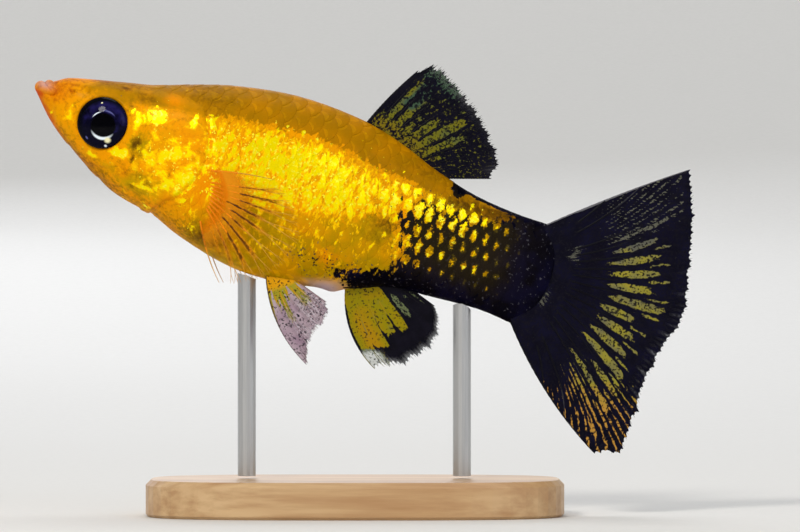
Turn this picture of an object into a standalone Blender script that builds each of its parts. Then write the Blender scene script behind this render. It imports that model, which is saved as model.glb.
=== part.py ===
"""A life-size gold dust molly swimming nose-up over a small display stand.

Sizes are in millimetres in the fish's own frame until the last step: x runs from the snout to the
tail, z from the belly to the back, and y is zero on the midline. In the finished model the fish
faces -X with its nose up, so its left side is at -y.
"""

import math
import random

import bmesh
import bpy
from mathutils import Matrix, Vector

# The pose, and the gap between parts that meet
METRES_PER_MM = 0.001
NOSE_UP_DEG = 20.0
SNOUT_HEIGHT = 46.75
SNOUT_AHEAD_OF_BASE_CENTRE = 35.0
GAP = 0.3
SIDE_NAMES = {-1: "left", 1: "right"}

# The body: distance from the snout, height of the back, depth of the belly, half breadth
STATIONS = (
    (-0.4, 0.60, 0.05, 0.70),
    (0.0, 0.90, -0.35, 1.35),
    (0.8, 1.35, -1.05, 1.95),
    (1.6, 1.95, -1.80, 2.40),
    (3.0, 2.50, -3.00, 3.00),
    (5.0, 3.10, -4.35, 3.60),
    (8.25, 3.95, -6.20, 4.35),
    (12.0, 5.00, -7.65, 5.10),
    (16.0, 6.50, -8.35, 5.80),
    (20.0, 7.85, -9.75, 6.25),
    (26.0, 9.10, -11.00, 6.45),
    (31.0, 9.40, -10.95, 6.15),
    (36.0, 9.05, -10.00, 5.20),
    (40.0, 8.20, -8.80, 4.25),
    (44.0, 6.90, -7.15, 3.40),
    (49.0, 5.70, -6.55, 2.60),
    (54.0, 5.30, -6.10, 1.85),
    (58.0, 5.40, -6.35, 1.10),
    (60.5, 5.60, -6.60, 0.75),
)
# How far the widest level lies from the middle of the height
WIDEST_SHIFT = ((-0.4, 0.0), (8.0, 0.1), (26.0, -1.2), (44.0, -0.3), (60.5, 0.0))
# 2 is an ellipse, and more is squarer: the head is broad and flat on top
BACK_SQUARENESS = ((-0.4, 2.1), (5.0, 2.9), (12.0, 2.8), (26.0, 2.2), (60.5, 2.1))
BELLY_SQUARENESS = ((-0.4, 2.1), (8.0, 2.3), (26.0, 2.1), (60.5, 2.1))
BODY_SIDES = 28
# The step between rings grows with the distance from the snout and from the stalk's end
WIDEST_RING_STEP = 1.8
SNOUT_RING_STEP, SNOUT_STEP_GROWTH = 0.28, 0.1
END_RING_STEP, END_STEP_GROWTH = 0.25, 0.35
SNOUT_CAP, END_CAP = 0.1, 0.06
# The stalk's flesh ends in a rounded edge under the tail fin
STALK_ROUND_START, STALK_END = 57.5, 60.3
TAIL_STALK_START = 45.0
# Further from the body's middle than its skin lies anywhere
BEYOND = 14.0

# Each lip is a horseshoe from one corner of the mouth to the other
MOUTH_CORNER = (2.1, 2.3, 0.1)
LIPS = {
    "upper_lip": {"front": (1.35, 1.55), "radius": 0.42},
    "lower_lip": {"front": (0.05, 0.45), "radius": 0.46},
}
LIP_CORNER_RADIUS = 0.12
MOUTH_OPENING = {"centre": (0.85, 0.0, 0.95), "radii": (1.05, 1.6, 0.38), "pitch_deg": 40.0}
NOSTRILS = ((3.9, 1.2), (5.5, 1.9))
NOSTRIL_RADIUS = 0.28
VENT = {"centre": (38.2, 0.0, -9.35), "radii": (1.9, 0.55, 0.5), "pitch_deg": -18.0}

EYE_X, EYE_Z = 8.25, -0.95
EYE_RADIUS, EYE_DOME, EYE_DEPTH = 2.83, 1.1, 1.5
EYE_SUNK = 0.12
EYE_YAW_DEG = 11.0

# Rear edge of the gill cover from the nape to the throat, and the plate's edge along the cheek
GILL_EDGE = (
    (16.3, 9.0), (16.9, 6.2), (18.6, 3.4), (20.0, 0.6),
    (20.1, -2.4), (18.7, -5.4), (16.8, -7.4), (15.2, -10.5),
)
GILL_CHEEK_EDGE = ((14.1, -6.0), (12.8, -3.4), (12.6, -0.4), (13.7, 2.3), (16.0, 3.6))
GILL_PLATE_TOP, GILL_PLATE_BOTTOM = 0.27, 0.82
GILL_PLATE_PROUD, GILL_PLATE_DEPTH = 0.22, 0.7
GILL_PLATE_INNER_Y, GILL_PLATE_OUTER_Y = 1.8, 11.0

# Each fin is a fan of rays from its root, sunk in the body, to the tips along its free edge.
# bow bends the first and the last ray outwards, and ragged is how far the web falls short of the tips.
MIDLINE_FINS = {
    "dorsal_fin": {
        "root": ((35.1, 8.2), (40.2, 7.2), (44.4, 5.9)),
        "tips": (
            (38.7, 16.4), (40.5, 17.8), (42.7, 16.9), (45.2, 15.5),
            (47.3, 13.8), (49.2, 12.0), (50.6, 9.8), (50.5, 8.0),
        ),
        "bow": (0.25, 0.0),
        "rays": 12,
        "ragged": 0.05,
        "root_thickness": 1.1,
        "wave": 0.35,
        "seed": 3,
    },
    "tail_fin": {
        "root": ((57.2, 4.6), (58.2, -0.5), (57.2, -5.5)),
        "tips": (
            (70.8, 16.6), (72.4, 13.6), (73.9, 9.3), (75.2, 4.6), (75.6, 0.6),
            (74.9, -3.2), (74.3, -8.0), (74.3, -12.4), (74.1, -15.4), (71.6, -16.8),
        ),
        "bow": (0.25, 0.9),
        "rays": 15,
        "branched": True,
        "ragged": 0.035,
        "root_thickness": 1.4,
        "wave": 0.5,
        "seed": 5,
    },
    "anal_fin": {
        "root": ((39.2, -8.0), (42.0, -7.0), (44.6, -6.1)),
        "tips": (
            (45.5, -16.2), (47.5, -15.2), (49.2, -13.8), (50.4, -12.0),
            (50.8, -10.2), (50.4, -8.6), (49.3, -7.4),
        ),
        "bow": (1.3, 0.0),
        "rays": 9,
        "ragged": 0.06,
        "root_thickness": 1.1,
        "wave": 0.2,
        "seed": 8,
    },
}
# Paired fins also splay: from a place in the flank or by the midline, at an angle from the body
PAIRED_FINS = {
    "pectoral_fin": {
        "root": ((20.7, -2.0), (21.8, -4.6), (21.9, -7.2)),
        "tips": (
            (28.2, -0.4), (30.8, -1.9), (32.6, -4.0), (33.1, -6.3),
            (32.3, -8.8), (30.6, -10.9), (28.6, -12.3), (26.4, -13.1),
        ),
        "bow": (0.2, 0.3),
        "rays": 12,
        "ragged": 0.04,
        "root_thickness": 1.6,
        "splay_deg": 19.0,
        "sunk_in_flank": 0.3,
        "seed": 13,
    },
    "pelvic_fin": {
        "root": ((30.6, -10.2), (33.0, -9.8)),
        "tips": (
            (38.3, -18.2), (37.8, -16.4), (37.9, -14.8), (38.4, -13.4), (38.6, -12.1), (38.0, -11.1),
        ),
        "bow": (1.1, 0.0),
        "rays": 6,
        "ragged": 0.07,
        "root_thickness": 1.1,
        "splay_deg": 13.0,
        "from_midline": 1.5,
        "seed": 21,
    },
}
FIN_ROWS = 7
WEB_THICKNESS, TIP_THICKNESS = 0.5, 0.3
ROOT_SHARE, TIP_SHARE = 0.35, 0.2
RAY_RISE, RAY_RISE_AT_TIP = 0.17, 0.05
RAY_START, RAY_FULL = 0.05, 0.3
RAY_FLANK, RAY_BRANCH = 0.3, 0.17
BRANCH_START, BRANCH_DONE = 0.45, 0.6
RAY_SPACING_VARIES, RAY_LENGTH_VARIES = 0.1, 0.025

BASE_LENGTH, BASE_WIDTH, BASE_HEIGHT = 46.0, 26.0, 4.0
BASE_SQUARENESS, BASE_CHAMFER = 3.2, 0.6
ROD_RADIUS = 1.0
RODS = {"stand_rod_front": 28.6, "stand_rod_rear": 52.0}

SHARP_EDGE_DEG = 40.0
FINISHES = {
    "gold_skin": {"colour": (0.83, 0.48, 0.02), "roughness": 0.3, "metallic": 0.4},
    "black_skin": {"colour": (0.015, 0.013, 0.03), "roughness": 0.35, "metallic": 0.0},
    "orange_fin": {"colour": (0.75, 0.25, 0.01), "roughness": 0.4, "metallic": 0.0},
    "olive_fin": {"colour": (0.35, 0.30, 0.03), "roughness": 0.4, "metallic": 0.0},
    "black_fin": {"colour": (0.015, 0.013, 0.03), "roughness": 0.4, "metallic": 0.0},
    "eye": {"colour": (0.01, 0.01, 0.05), "roughness": 0.05, "metallic": 0.0},
    "maple": {"colour": (0.72, 0.55, 0.36), "roughness": 0.45, "metallic": 0.0},
    "steel": {"colour": (0.62, 0.62, 0.63), "roughness": 0.3, "metallic": 1.0},
}


def through(points):
    """A smooth curve through points of (t, value, ...), as a function of t that lists the values."""
    ts = [point[0] for point in points]
    last = len(points) - 1

    def slope(i, k):
        a, b = max(i - 1, 0), min(i + 1, last)
        return (points[b][k] - points[a][k]) / (ts[b] - ts[a])

    def at(t):
        i = max(0, min(last - 1, sum(known <= t for known in ts) - 1))
        width = ts[i + 1] - ts[i]
        s = max(0.0, min(1.0, (t - ts[i]) / width))
        rise = s * s * (3 - 2 * s)
        leave, arrive = s * (1 - s) ** 2 * width, -s * s * (1 - s) * width
        values = []
        for k in range(1, len(points[0])):
            low, high = points[i][k], points[i + 1][k]
            values.append(low + (high - low) * rise + slope(i, k) * leave + slope(i + 1, k) * arrive)
        return values

    return at


def along(points):
    """A smooth curve through side-view points, as a function of the share of its length."""
    distances = [0.0]
    for a, b in zip(points, points[1:]):
        distances.append(distances[-1] + math.dist(a, b))
    curve = through([(d / distances[-1], *p) for d, p in zip(distances, points)])
    return lambda share: Vector(curve(share))


def fade(low, high, t):
    """0 below low, 1 above high, smooth between."""
    s = max(0.0, min(1.0, (t - low) / (high - low)))
    return s * s * (3 - 2 * s)


body_lines = through(STATIONS)
widest_shift = through(WIDEST_SHIFT)
back_squareness = through(BACK_SQUARENESS)
belly_squareness = through(BELLY_SQUARENESS)


def section(x):
    """The body's cross-section: back, belly, half breadth, widest level and the two squarenesses."""
    back, belly, breadth = body_lines(x)
    level = (back + belly) / 2 + widest_shift(x)[0]
    if x > STALK_ROUND_START:
        share = (x - STALK_ROUND_START) / (STALK_END - STALK_ROUND_START)
        shrink = math.sqrt(max(0.0, 1 - share * share))
        back = level + (back - level) * shrink
        belly = level + (belly - level) * shrink
    return back, belly, breadth, level, back_squareness(x)[0], belly_squareness(x)[0]


def section_point(x, angle):
    back, belly, breadth, level, square_back, square_belly = section(x)
    across, up = math.cos(angle), math.sin(angle)
    power = 2 / (square_back if up > 0 else square_belly)
    reach = back - level if up > 0 else level - belly
    y = math.copysign(abs(across) ** power, across) * breadth
    z = level + math.copysign(abs(up) ** power, up) * reach
    return Vector((x, y, z))


def flank_at(x, z):
    """How far the body's side is from the midline at that height."""
    back, belly, breadth, level, square_back, square_belly = section(x)
    square = square_back if z > level else square_belly
    share = (z - level) / (back - level) if z > level else (level - z) / (level - belly)
    return breadth * max(0.0, 1 - min(1.0, share) ** square) ** (1 / square)


def to_stand(point):
    """From the fish's frame to the stand's: nose up, over the base."""
    turn = math.radians(NOSE_UP_DEG)
    x, y, z = point
    return Vector((
        x * math.cos(turn) + z * math.sin(turn) - SNOUT_AHEAD_OF_BASE_CENTRE,
        y,
        z * math.cos(turn) - x * math.sin(turn) + SNOUT_HEIGHT,
    ))


def new_object(name, points, faces):
    mesh = bpy.data.meshes.new(name)
    mesh.from_pydata([tuple(p) for p in points], [], faces)
    form = bmesh.new()
    form.from_mesh(mesh)
    bmesh.ops.recalc_face_normals(form, faces=form.faces)
    form.to_mesh(mesh)
    form.free()
    obj = bpy.data.objects.new(name, mesh)
    bpy.context.scene.collection.objects.link(obj)
    return obj


def fish_object(name, points, faces):
    return new_object(name, [to_stand(p) for p in points], faces)


def bands(rings, sides):
    """The faces between rings of points that follow one another."""
    faces = []
    for r in range(rings - 1):
        for k in range(sides):
            a, b = r * sides + k, r * sides + (k + 1) % sides
            faces.append((a, b, b + sides, a + sides))
    return faces


def fan(first, sides, tip):
    """The triangles from a ring of points to one point."""
    return [(first + k, first + (k + 1) % sides, tip) for k in range(sides)]


def capped(rings, sides):
    """A tube's faces, with a flat face at each end."""
    ends = [tuple(range(sides)), tuple(range((rings - 1) * sides, rings * sides))]
    return bands(rings, sides) + ends


def bake_modifiers(obj):
    """Gives the object the mesh that its modifiers make."""
    bpy.context.view_layer.update()
    graph = bpy.context.evaluated_depsgraph_get()
    mesh = bpy.data.meshes.new_from_object(obj.evaluated_get(graph))
    obj.modifiers.clear()
    obj.data = mesh


def combine(obj, other, operation):
    """Applies one Boolean with another closed object, and removes that one."""
    boolean = obj.modifiers.new(operation.lower(), "BOOLEAN")
    boolean.operation = operation
    boolean.solver = "EXACT"
    boolean.object = other
    bake_modifiers(obj)
    bpy.data.objects.remove(other)
    return obj


def join_all(obj, others):
    """Joins closed objects to this one in one union, and removes them."""
    group = bpy.data.collections.new(obj.name + "_pieces")
    for other in others:
        group.objects.link(other)
    union = obj.modifiers.new("union", "BOOLEAN")
    union.operation = "UNION"
    union.solver = "EXACT"
    union.operand_type = "COLLECTION"
    union.collection = group
    bake_modifiers(obj)
    for other in others:
        bpy.data.objects.remove(other)
    bpy.data.collections.remove(group)
    return obj


def keep_largest(obj):
    """Keeps the largest closed surface of a mesh, without the scraps that a cut left loose."""
    form = bmesh.new()
    form.from_mesh(obj.data)
    unseen, groups = set(form.verts), []
    while unseen:
        stack, group = [unseen.pop()], []
        while stack:
            vert = stack.pop()
            group.append(vert)
            for edge in vert.link_edges:
                other = edge.other_vert(vert)
                if other in unseen:
                    unseen.discard(other)
                    stack.append(other)
        groups.append(group)
    groups.sort(key=len)
    for group in groups[:-1]:
        bmesh.ops.delete(form, geom=group, context="VERTS")
    form.to_mesh(obj.data)
    form.free()
    return obj


def ring_positions():
    """Rings close together at the snout and at the stalk's rounded end, wider apart on the trunk."""
    positions, x = [], STATIONS[0][0]
    while x < STALK_END - 2 * END_CAP:
        positions.append(x)
        near_snout = SNOUT_RING_STEP + SNOUT_STEP_GROWTH * max(0.0, x)
        near_end = END_RING_STEP + END_STEP_GROWTH * max(0.0, STALK_END - x)
        x += min(WIDEST_RING_STEP, near_snout, near_end)
    positions.append(STALK_END - END_CAP)
    return positions


def body_solid(name, grow=0.0):
    """The whole body from snout to stalk, moved out along its own normals by grow."""
    rings = ring_positions()
    points = []
    for x in rings:
        for k in range(BODY_SIDES):
            points.append(section_point(x, 2 * math.pi * (k + 0.5) / BODY_SIDES))
    faces = bands(len(rings), BODY_SIDES)
    for ring, x_out in ((0, rings[0] - SNOUT_CAP), (len(rings) - 1, rings[-1] + END_CAP)):
        back, belly, *_ = section(rings[ring])
        points.append(Vector((x_out, 0, (back + belly) / 2)))
        faces += fan(ring * BODY_SIDES, BODY_SIDES, len(points) - 1)
    obj = fish_object(name, points, faces)
    if grow:
        form = bmesh.new()
        form.from_mesh(obj.data)
        form.normal_update()
        moves = [vert.normal * grow for vert in form.verts]
        for vert, move in zip(form.verts, moves):
            vert.co += move
        form.to_mesh(obj.data)
        form.free()
    return obj


def prism(name, outline, low_y, high_y):
    """A solid with that outline seen from the side, between two distances from the midline."""
    points = [Vector((x, y, z)) for y in (low_y, high_y) for x, z in outline]
    return fish_object(name, points, capped(2, len(outline)))


def slice_of_body(name, outline):
    return combine(body_solid(name), prism("slice", outline, -BEYOND, BEYOND), "INTERSECT")


def gill_edge_points(shift, first=0.0, last=1.0, steps=16):
    """Points along the gill cover's rear edge, moved along x."""
    edge = along(GILL_EDGE)
    points = []
    for k in range(steps + 1):
        x, z = edge(first + (last - first) * k / steps)
        points.append((x + shift, z))
    return points


def gill_plate_outline():
    """The plate's rear edge downwards, then its cheek edge upwards."""
    rear = gill_edge_points(-GAP / 2, GILL_PLATE_TOP, GILL_PLATE_BOTTOM, 12)
    cheek = along([rear[-1], *GILL_CHEEK_EDGE, rear[0]])
    steps = 14
    return rear + [tuple(cheek(k / steps)) for k in range(1, steps)]


def moved_out(outline, distance):
    """An outline listed in that order, with each point moved away from its inside."""
    moved = []
    for k, (x, z) in enumerate(outline):
        before, after = outline[k - 1], outline[(k + 1) % len(outline)]
        run, rise = after[0] - before[0], after[1] - before[1]
        length = math.hypot(run, rise)
        moved.append((x - rise / length * distance, z + run / length * distance))
    return moved


def gill_prism(name, outline, side):
    near, far = GILL_PLATE_INNER_Y * side, GILL_PLATE_OUTER_Y * side
    return prism(name, outline, min(near, far), max(near, far))


def gill_cover(side):
    """A thin plate that lies a little proud of the head, with its rear edge along the gill opening."""
    plate = gill_prism("gill_cover_" + SIDE_NAMES[side], gill_plate_outline(), side)
    combine(plate, body_solid("proud_body", GILL_PLATE_PROUD), "INTERSECT")
    combine(plate, body_solid("plate_bed", -GILL_PLATE_DEPTH), "DIFFERENCE")
    return keep_largest(plate)


def gill_recess(side):
    """What is cut from the head to take the gill cover with the gap all round."""
    recess = gill_prism("recess", moved_out(gill_plate_outline(), GAP), side)
    return combine(recess, body_solid("recess_bed", -GILL_PLATE_DEPTH - GAP), "DIFFERENCE")


def eyeball(name, side, grow=0.0, sides=24, half_bands=4):
    """A flattened ball about the way the eye looks, shallower outside than inside."""
    yaw = math.radians(EYE_YAW_DEG)
    outwards = Vector((-math.sin(yaw), side * math.cos(yaw), 0.0))
    up = Vector((0.0, 0.0, 1.0))
    forward = outwards.cross(up)
    centre = Vector((EYE_X, side * (flank_at(EYE_X, EYE_Z) - EYE_SUNK), EYE_Z))
    points, rings = [], 2 * half_bands - 1
    for r in range(1, rings + 1):
        angle = math.pi * r / (rings + 1)
        depth = math.cos(angle) * ((EYE_DOME if r < half_bands else EYE_DEPTH) + grow)
        radius = math.sin(angle) * (EYE_RADIUS + grow)
        for k in range(sides):
            turn = 2 * math.pi * k / sides
            spoke = forward * math.cos(turn) + up * math.sin(turn)
            points.append(centre + outwards * depth + spoke * radius)
    faces = bands(rings, sides)
    for first, depth in ((0, EYE_DOME + grow), ((rings - 1) * sides, -EYE_DEPTH - grow)):
        points.append(centre + outwards * depth)
        faces += fan(first, sides, len(points) - 1)
    return fish_object(name, points, faces)


def ellipsoid(name, centre, radii, pitch_deg=0.0, sides=12, rings=5):
    """A small closed ball whose first radius lies along x, with its rear end tipped down by pitch_deg."""
    turn = Matrix.Rotation(math.radians(pitch_deg), 3, "Y")
    points = []
    for r in range(1, rings + 1):
        angle = math.pi * r / (rings + 1)
        for k in range(sides):
            spin = 2 * math.pi * k / sides
            offset = Vector((
                radii[0] * math.cos(angle),
                radii[1] * math.sin(angle) * math.cos(spin),
                radii[2] * math.sin(angle) * math.sin(spin),
            ))
            points.append(Vector(centre) + turn @ offset)
    faces = bands(rings, sides)
    for first, sign in ((0, 1), ((rings - 1) * sides, -1)):
        points.append(Vector(centre) + turn @ Vector((sign * radii[0], 0, 0)))
        faces += fan(first, sides, len(points) - 1)
    return fish_object(name, points, faces)


def lip(name, front, radius, segments=14, sides=8):
    """A tapered tube bent round the mouth like a horseshoe."""
    corner_x, corner_y, corner_z = MOUTH_CORNER
    ahead, above = front[0] - corner_x, front[1] - corner_z
    points = []
    for s in range(segments + 1):
        turn = math.pi * (s / segments - 0.5)
        bend = math.cos(turn)
        centre = Vector((corner_x + ahead * bend, corner_y * math.sin(turn), corner_z + above * bend))
        heading = Vector((-ahead * math.sin(turn), corner_y * bend, -above * math.sin(turn))).normalized()
        out = (Vector((0.0, 0.0, 1.0)) - heading * heading.z).normalized()
        side = heading.cross(out)
        thickness = LIP_CORNER_RADIUS + (radius - LIP_CORNER_RADIUS) * max(0.0, bend) ** 0.5
        for k in range(sides):
            spin = 2 * math.pi * k / sides
            points.append(centre + (out * math.cos(spin) + side * math.sin(spin)) * thickness)
    return fish_object(name, points, capped(segments + 1, sides))


def head():
    outline = gill_edge_points(-GAP / 2) + [(-BEYOND, -BEYOND), (-BEYOND, BEYOND)]
    obj = slice_of_body("head", outline)
    join_all(obj, [lip(name, **sizes) for name, sizes in LIPS.items()])
    combine(obj, ellipsoid("mouth_opening", **MOUTH_OPENING), "DIFFERENCE")
    for side in SIDE_NAMES:
        combine(obj, gill_recess(side), "DIFFERENCE")
        combine(obj, eyeball("socket", side, GAP), "DIFFERENCE")
        for x, z in NOSTRILS:
            place, radii = (x, side * flank_at(x, z), z), (NOSTRIL_RADIUS,) * 3
            combine(obj, ellipsoid("nostril", place, radii, sides=8, rings=3), "DIFFERENCE")
    return keep_largest(obj)


def torso():
    rear = TAIL_STALK_START - GAP / 2
    outline = gill_edge_points(GAP / 2)[::-1] + [(rear, BEYOND), (rear, -BEYOND)]
    obj = slice_of_body("torso", outline)
    return keep_largest(join_all(obj, [ellipsoid("vent", **VENT)]))


def tail_stalk():
    front, rear = TAIL_STALK_START + GAP / 2, STALK_END + BEYOND
    outline = [(front, BEYOND), (rear, BEYOND), (rear, -BEYOND), (front, -BEYOND)]
    return keep_largest(slice_of_body("tail_stalk", outline))


def fin_columns(fin):
    """The fin's columns of points: where each stands from 0 to 1, what it is, and how far it reaches."""
    vary = random.Random(fin["seed"])
    last = fin["rays"] - 1
    web = 1 - fin["ragged"]
    columns = []
    for k in range(fin["rays"]):
        inner = 0 < k < last
        place = k + vary.uniform(-RAY_SPACING_VARIES, RAY_SPACING_VARIES) * inner
        tip = 1 - vary.uniform(0, RAY_LENGTH_VARIES) * inner
        crest = [(0.0, "ray", tip)]
        if inner and "branched" in fin:
            stem = (0.0, "stem", (tip + web) / 2)
            crest = [(-RAY_BRANCH, "branch", tip), stem, (RAY_BRANCH, "branch", tip)]
        for shift, kind, reach in [(-RAY_FLANK, "web", web), *crest, (RAY_FLANK, "web", web)]:
            if 0 <= place + shift <= last:
                columns.append(((place + shift) / last, kind, reach))
    return columns


def half_thickness(fin, kind, v):
    """Thick at the fleshy root and thin at the free edge, with the rays standing out of the web."""
    thickness = fin["root_thickness"] + (WEB_THICKNESS - fin["root_thickness"]) * fade(0, ROOT_SHARE, v)
    thickness += (TIP_THICKNESS - WEB_THICKNESS) * fade(1 - TIP_SHARE, 1, v)
    split = fade(BRANCH_START, BRANCH_DONE, v)
    share = {"web": 0.0, "ray": 1.0, "stem": 1 - split, "branch": split}[kind] * fade(RAY_START, RAY_FULL, v)
    return thickness / 2 + share * (RAY_RISE + (RAY_RISE_AT_TIP - RAY_RISE) * v)


def fin_sheet(fin, columns, sideways):
    """The fin's middle surface, as columns of points from root to tip."""
    root, tips = along(fin["root"]), along(fin["tips"])
    first_bow, last_bow = fin["bow"]
    sheet = []
    for u, _, reach in columns:
        ray = tips(u) - root(u)
        bend = Vector((ray.y, -ray.x)).normalized()
        if bend.dot(tips(1) - tips(0)) < 0:
            bend.negate()
        bend *= last_bow * u**2 - first_bow * (1 - u) ** 2
        column = []
        for row in range(FIN_ROWS + 1):
            v = row / FIN_ROWS
            flat = root(u) + ray * v * (1 - (1 - reach) * v**3) + bend * 4 * v * (1 - v)
            column.append(Vector((flat.x, sideways(u, v, flat), flat.y)))
        sheet.append(column)
    return sheet


def sheet_normal(sheet, c, row):
    across = sheet[min(c + 1, len(sheet) - 1)][row] - sheet[max(c - 1, 0)][row]
    outwards = sheet[c][min(row + 1, FIN_ROWS)] - sheet[c][max(row - 1, 0)]
    return across.cross(outwards).normalized()


def fin_solid(name, fin, sideways):
    """Both faces of a fin, closed along the rim, without what would lie in the body."""
    columns = fin_columns(fin)
    sheet = fin_sheet(fin, columns, sideways)
    points, faces = [], []
    for face_side in (1, -1):
        for c, (_, kind, _) in enumerate(columns):
            for row in range(FIN_ROWS + 1):
                out = half_thickness(fin, kind, row / FIN_ROWS) * face_side
                points.append(sheet[c][row] + sheet_normal(sheet, c, row) * out)
    rows = FIN_ROWS + 1
    other = len(columns) * rows
    for c in range(len(columns) - 1):
        for row in range(FIN_ROWS):
            a, b = c * rows + row, (c + 1) * rows + row
            for triangle in ((a, b, b + 1), (a, b + 1, a + 1)):
                faces.append(triangle)
                faces.append(tuple(other + k for k in reversed(triangle)))
    last = (len(columns) - 1) * rows
    rim = [c * rows for c in range(len(columns))] + [last + row for row in range(1, rows)]
    rim += [c * rows + FIN_ROWS for c in range(len(columns) - 2, -1, -1)] + list(range(FIN_ROWS - 1, 0, -1))
    for a, b in zip(rim, rim[1:] + rim[:1]):
        faces += [(a, other + a, other + b), (a, other + b, b)]
    fin_obj = fish_object(name, points, faces)
    return keep_largest(combine(fin_obj, body_solid("body_and_gap", GAP), "DIFFERENCE"))


def midline_fin(name):
    fin = MIDLINE_FINS[name]

    def sideways(u, v, _):
        return fin["wave"] * v * v * math.sin(math.pi * (2.5 * u + v))

    return fin_solid(name, fin, sideways)


def paired_fin(name, side):
    fin = PAIRED_FINS[name]
    root = along(fin["root"])
    spread = math.tan(math.radians(fin["splay_deg"]))

    def sideways(u, _, flat):
        start = root(u)
        if "from_midline" in fin:
            inner = fin["from_midline"]
        else:
            inner = flank_at(start.x, start.y) - fin["sunk_in_flank"]
        return side * (inner + (flat - start).length * spread)

    return fin_solid(f"{name}_{SIDE_NAMES[side]}", fin, sideways)


def stand_base():
    """An oval plate with a chamfered rim, its underside on the floor."""
    sides = 48
    levels = (
        (0.0, BASE_CHAMFER / 2),
        (BASE_CHAMFER / 2, 0.0),
        (BASE_HEIGHT - BASE_CHAMFER, 0.0),
        (BASE_HEIGHT, BASE_CHAMFER),
    )
    points = []
    for z, inset in levels:
        for k in range(sides):
            turn = 2 * math.pi * k / sides
            c, s = math.cos(turn), math.sin(turn)
            x = math.copysign(abs(c) ** (2 / BASE_SQUARENESS), c) * (BASE_LENGTH / 2 - inset)
            y = math.copysign(abs(s) ** (2 / BASE_SQUARENESS), s) * (BASE_WIDTH / 2 - inset)
            points.append(Vector((x, y, z)))
    return new_object("stand_base", points, capped(len(levels), sides))


def stand_rod(name, fish_x):
    """A round upright rod from the gap over the base to the gap under the belly."""
    sides = 16
    belly = section(fish_x)[1]
    foot_x, top = to_stand((fish_x, 0.0, belly)).x, to_stand((fish_x, 0.0, 0.0)).z
    points = []
    for z in (BASE_HEIGHT + GAP, top):
        for k in range(sides):
            turn = 2 * math.pi * k / sides
            points.append(Vector((foot_x + ROD_RADIUS * math.cos(turn), ROD_RADIUS * math.sin(turn), z)))
    rod = new_object(name, points, capped(2, sides))
    return keep_largest(combine(rod, body_solid("body_and_gap", GAP), "DIFFERENCE"))


def material(name):
    made = bpy.data.materials.new(name)
    made.use_nodes = True
    shader = made.node_tree.nodes["Principled BSDF"]
    shader.inputs["Base Color"].default_value = (*FINISHES[name]["colour"], 1.0)
    shader.inputs["Roughness"].default_value = FINISHES[name]["roughness"]
    shader.inputs["Metallic"].default_value = FINISHES[name]["metallic"]
    return made


def finish(obj, made):
    """The real size in metres, the material, and smooth shading up to the sharp edges."""
    obj.data.transform(Matrix.Scale(METRES_PER_MM, 4))
    obj.data.materials.clear()
    obj.data.materials.append(made)
    obj.data.shade_smooth()
    obj.data.set_sharp_from_angle(angle=math.radians(SHARP_EDGE_DEG))


def main():
    for obj in list(bpy.data.objects):
        bpy.data.objects.remove(obj)
    made = {name: material(name) for name in FINISHES}
    nodes = [(head(), "gold_skin"), (torso(), "gold_skin"), (tail_stalk(), "black_skin")]
    nodes.append((midline_fin("dorsal_fin"), "olive_fin"))
    nodes.append((midline_fin("anal_fin"), "olive_fin"))
    nodes.append((midline_fin("tail_fin"), "black_fin"))
    for side, side_name in SIDE_NAMES.items():
        nodes.append((gill_cover(side), "gold_skin"))
        nodes.append((eyeball("eye_" + side_name, side), "eye"))
        nodes.append((paired_fin("pectoral_fin", side), "orange_fin"))
        nodes.append((paired_fin("pelvic_fin", side), "olive_fin"))
    nodes.append((stand_base(), "maple"))
    for name, fish_x in RODS.items():
        nodes.append((stand_rod(name, fish_x), "steel"))
    for obj, finish_name in nodes:
        finish(obj, made[finish_name])


main()
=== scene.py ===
import math
import random

import bmesh
import bpy
import numpy as np
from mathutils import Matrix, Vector


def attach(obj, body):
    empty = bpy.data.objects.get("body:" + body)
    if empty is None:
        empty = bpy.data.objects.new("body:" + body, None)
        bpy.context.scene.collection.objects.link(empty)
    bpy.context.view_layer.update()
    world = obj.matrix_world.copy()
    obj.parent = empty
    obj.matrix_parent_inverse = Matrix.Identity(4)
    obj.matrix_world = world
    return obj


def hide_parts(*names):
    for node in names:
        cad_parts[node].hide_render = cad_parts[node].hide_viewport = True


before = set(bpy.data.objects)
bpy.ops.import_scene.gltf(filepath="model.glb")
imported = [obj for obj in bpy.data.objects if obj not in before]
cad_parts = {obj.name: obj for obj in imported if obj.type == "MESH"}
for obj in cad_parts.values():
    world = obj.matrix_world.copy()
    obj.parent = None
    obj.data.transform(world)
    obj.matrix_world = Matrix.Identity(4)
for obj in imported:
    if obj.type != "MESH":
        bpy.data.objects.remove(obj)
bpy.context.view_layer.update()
print("frame:", len(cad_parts), "nodes")

pose = {
    "noseUpDeg": 20.0,
    "snoutHeight": 46.75,
    "snoutAhead": 35.0,  # how far the snout lies ahead of the base's middle
}
sides = {"Left": -1, "Right": 1}


def toStand(points):
    turn = math.radians(pose["noseUpDeg"])
    x, y, z = points[..., 0], points[..., 1], points[..., 2]
    placed = [
        x * math.cos(turn) + z * math.sin(turn) - pose["snoutAhead"],
        y,
        z * math.cos(turn) - x * math.sin(turn) + pose["snoutHeight"],
    ]
    return np.stack(placed, -1) * 0.001


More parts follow.
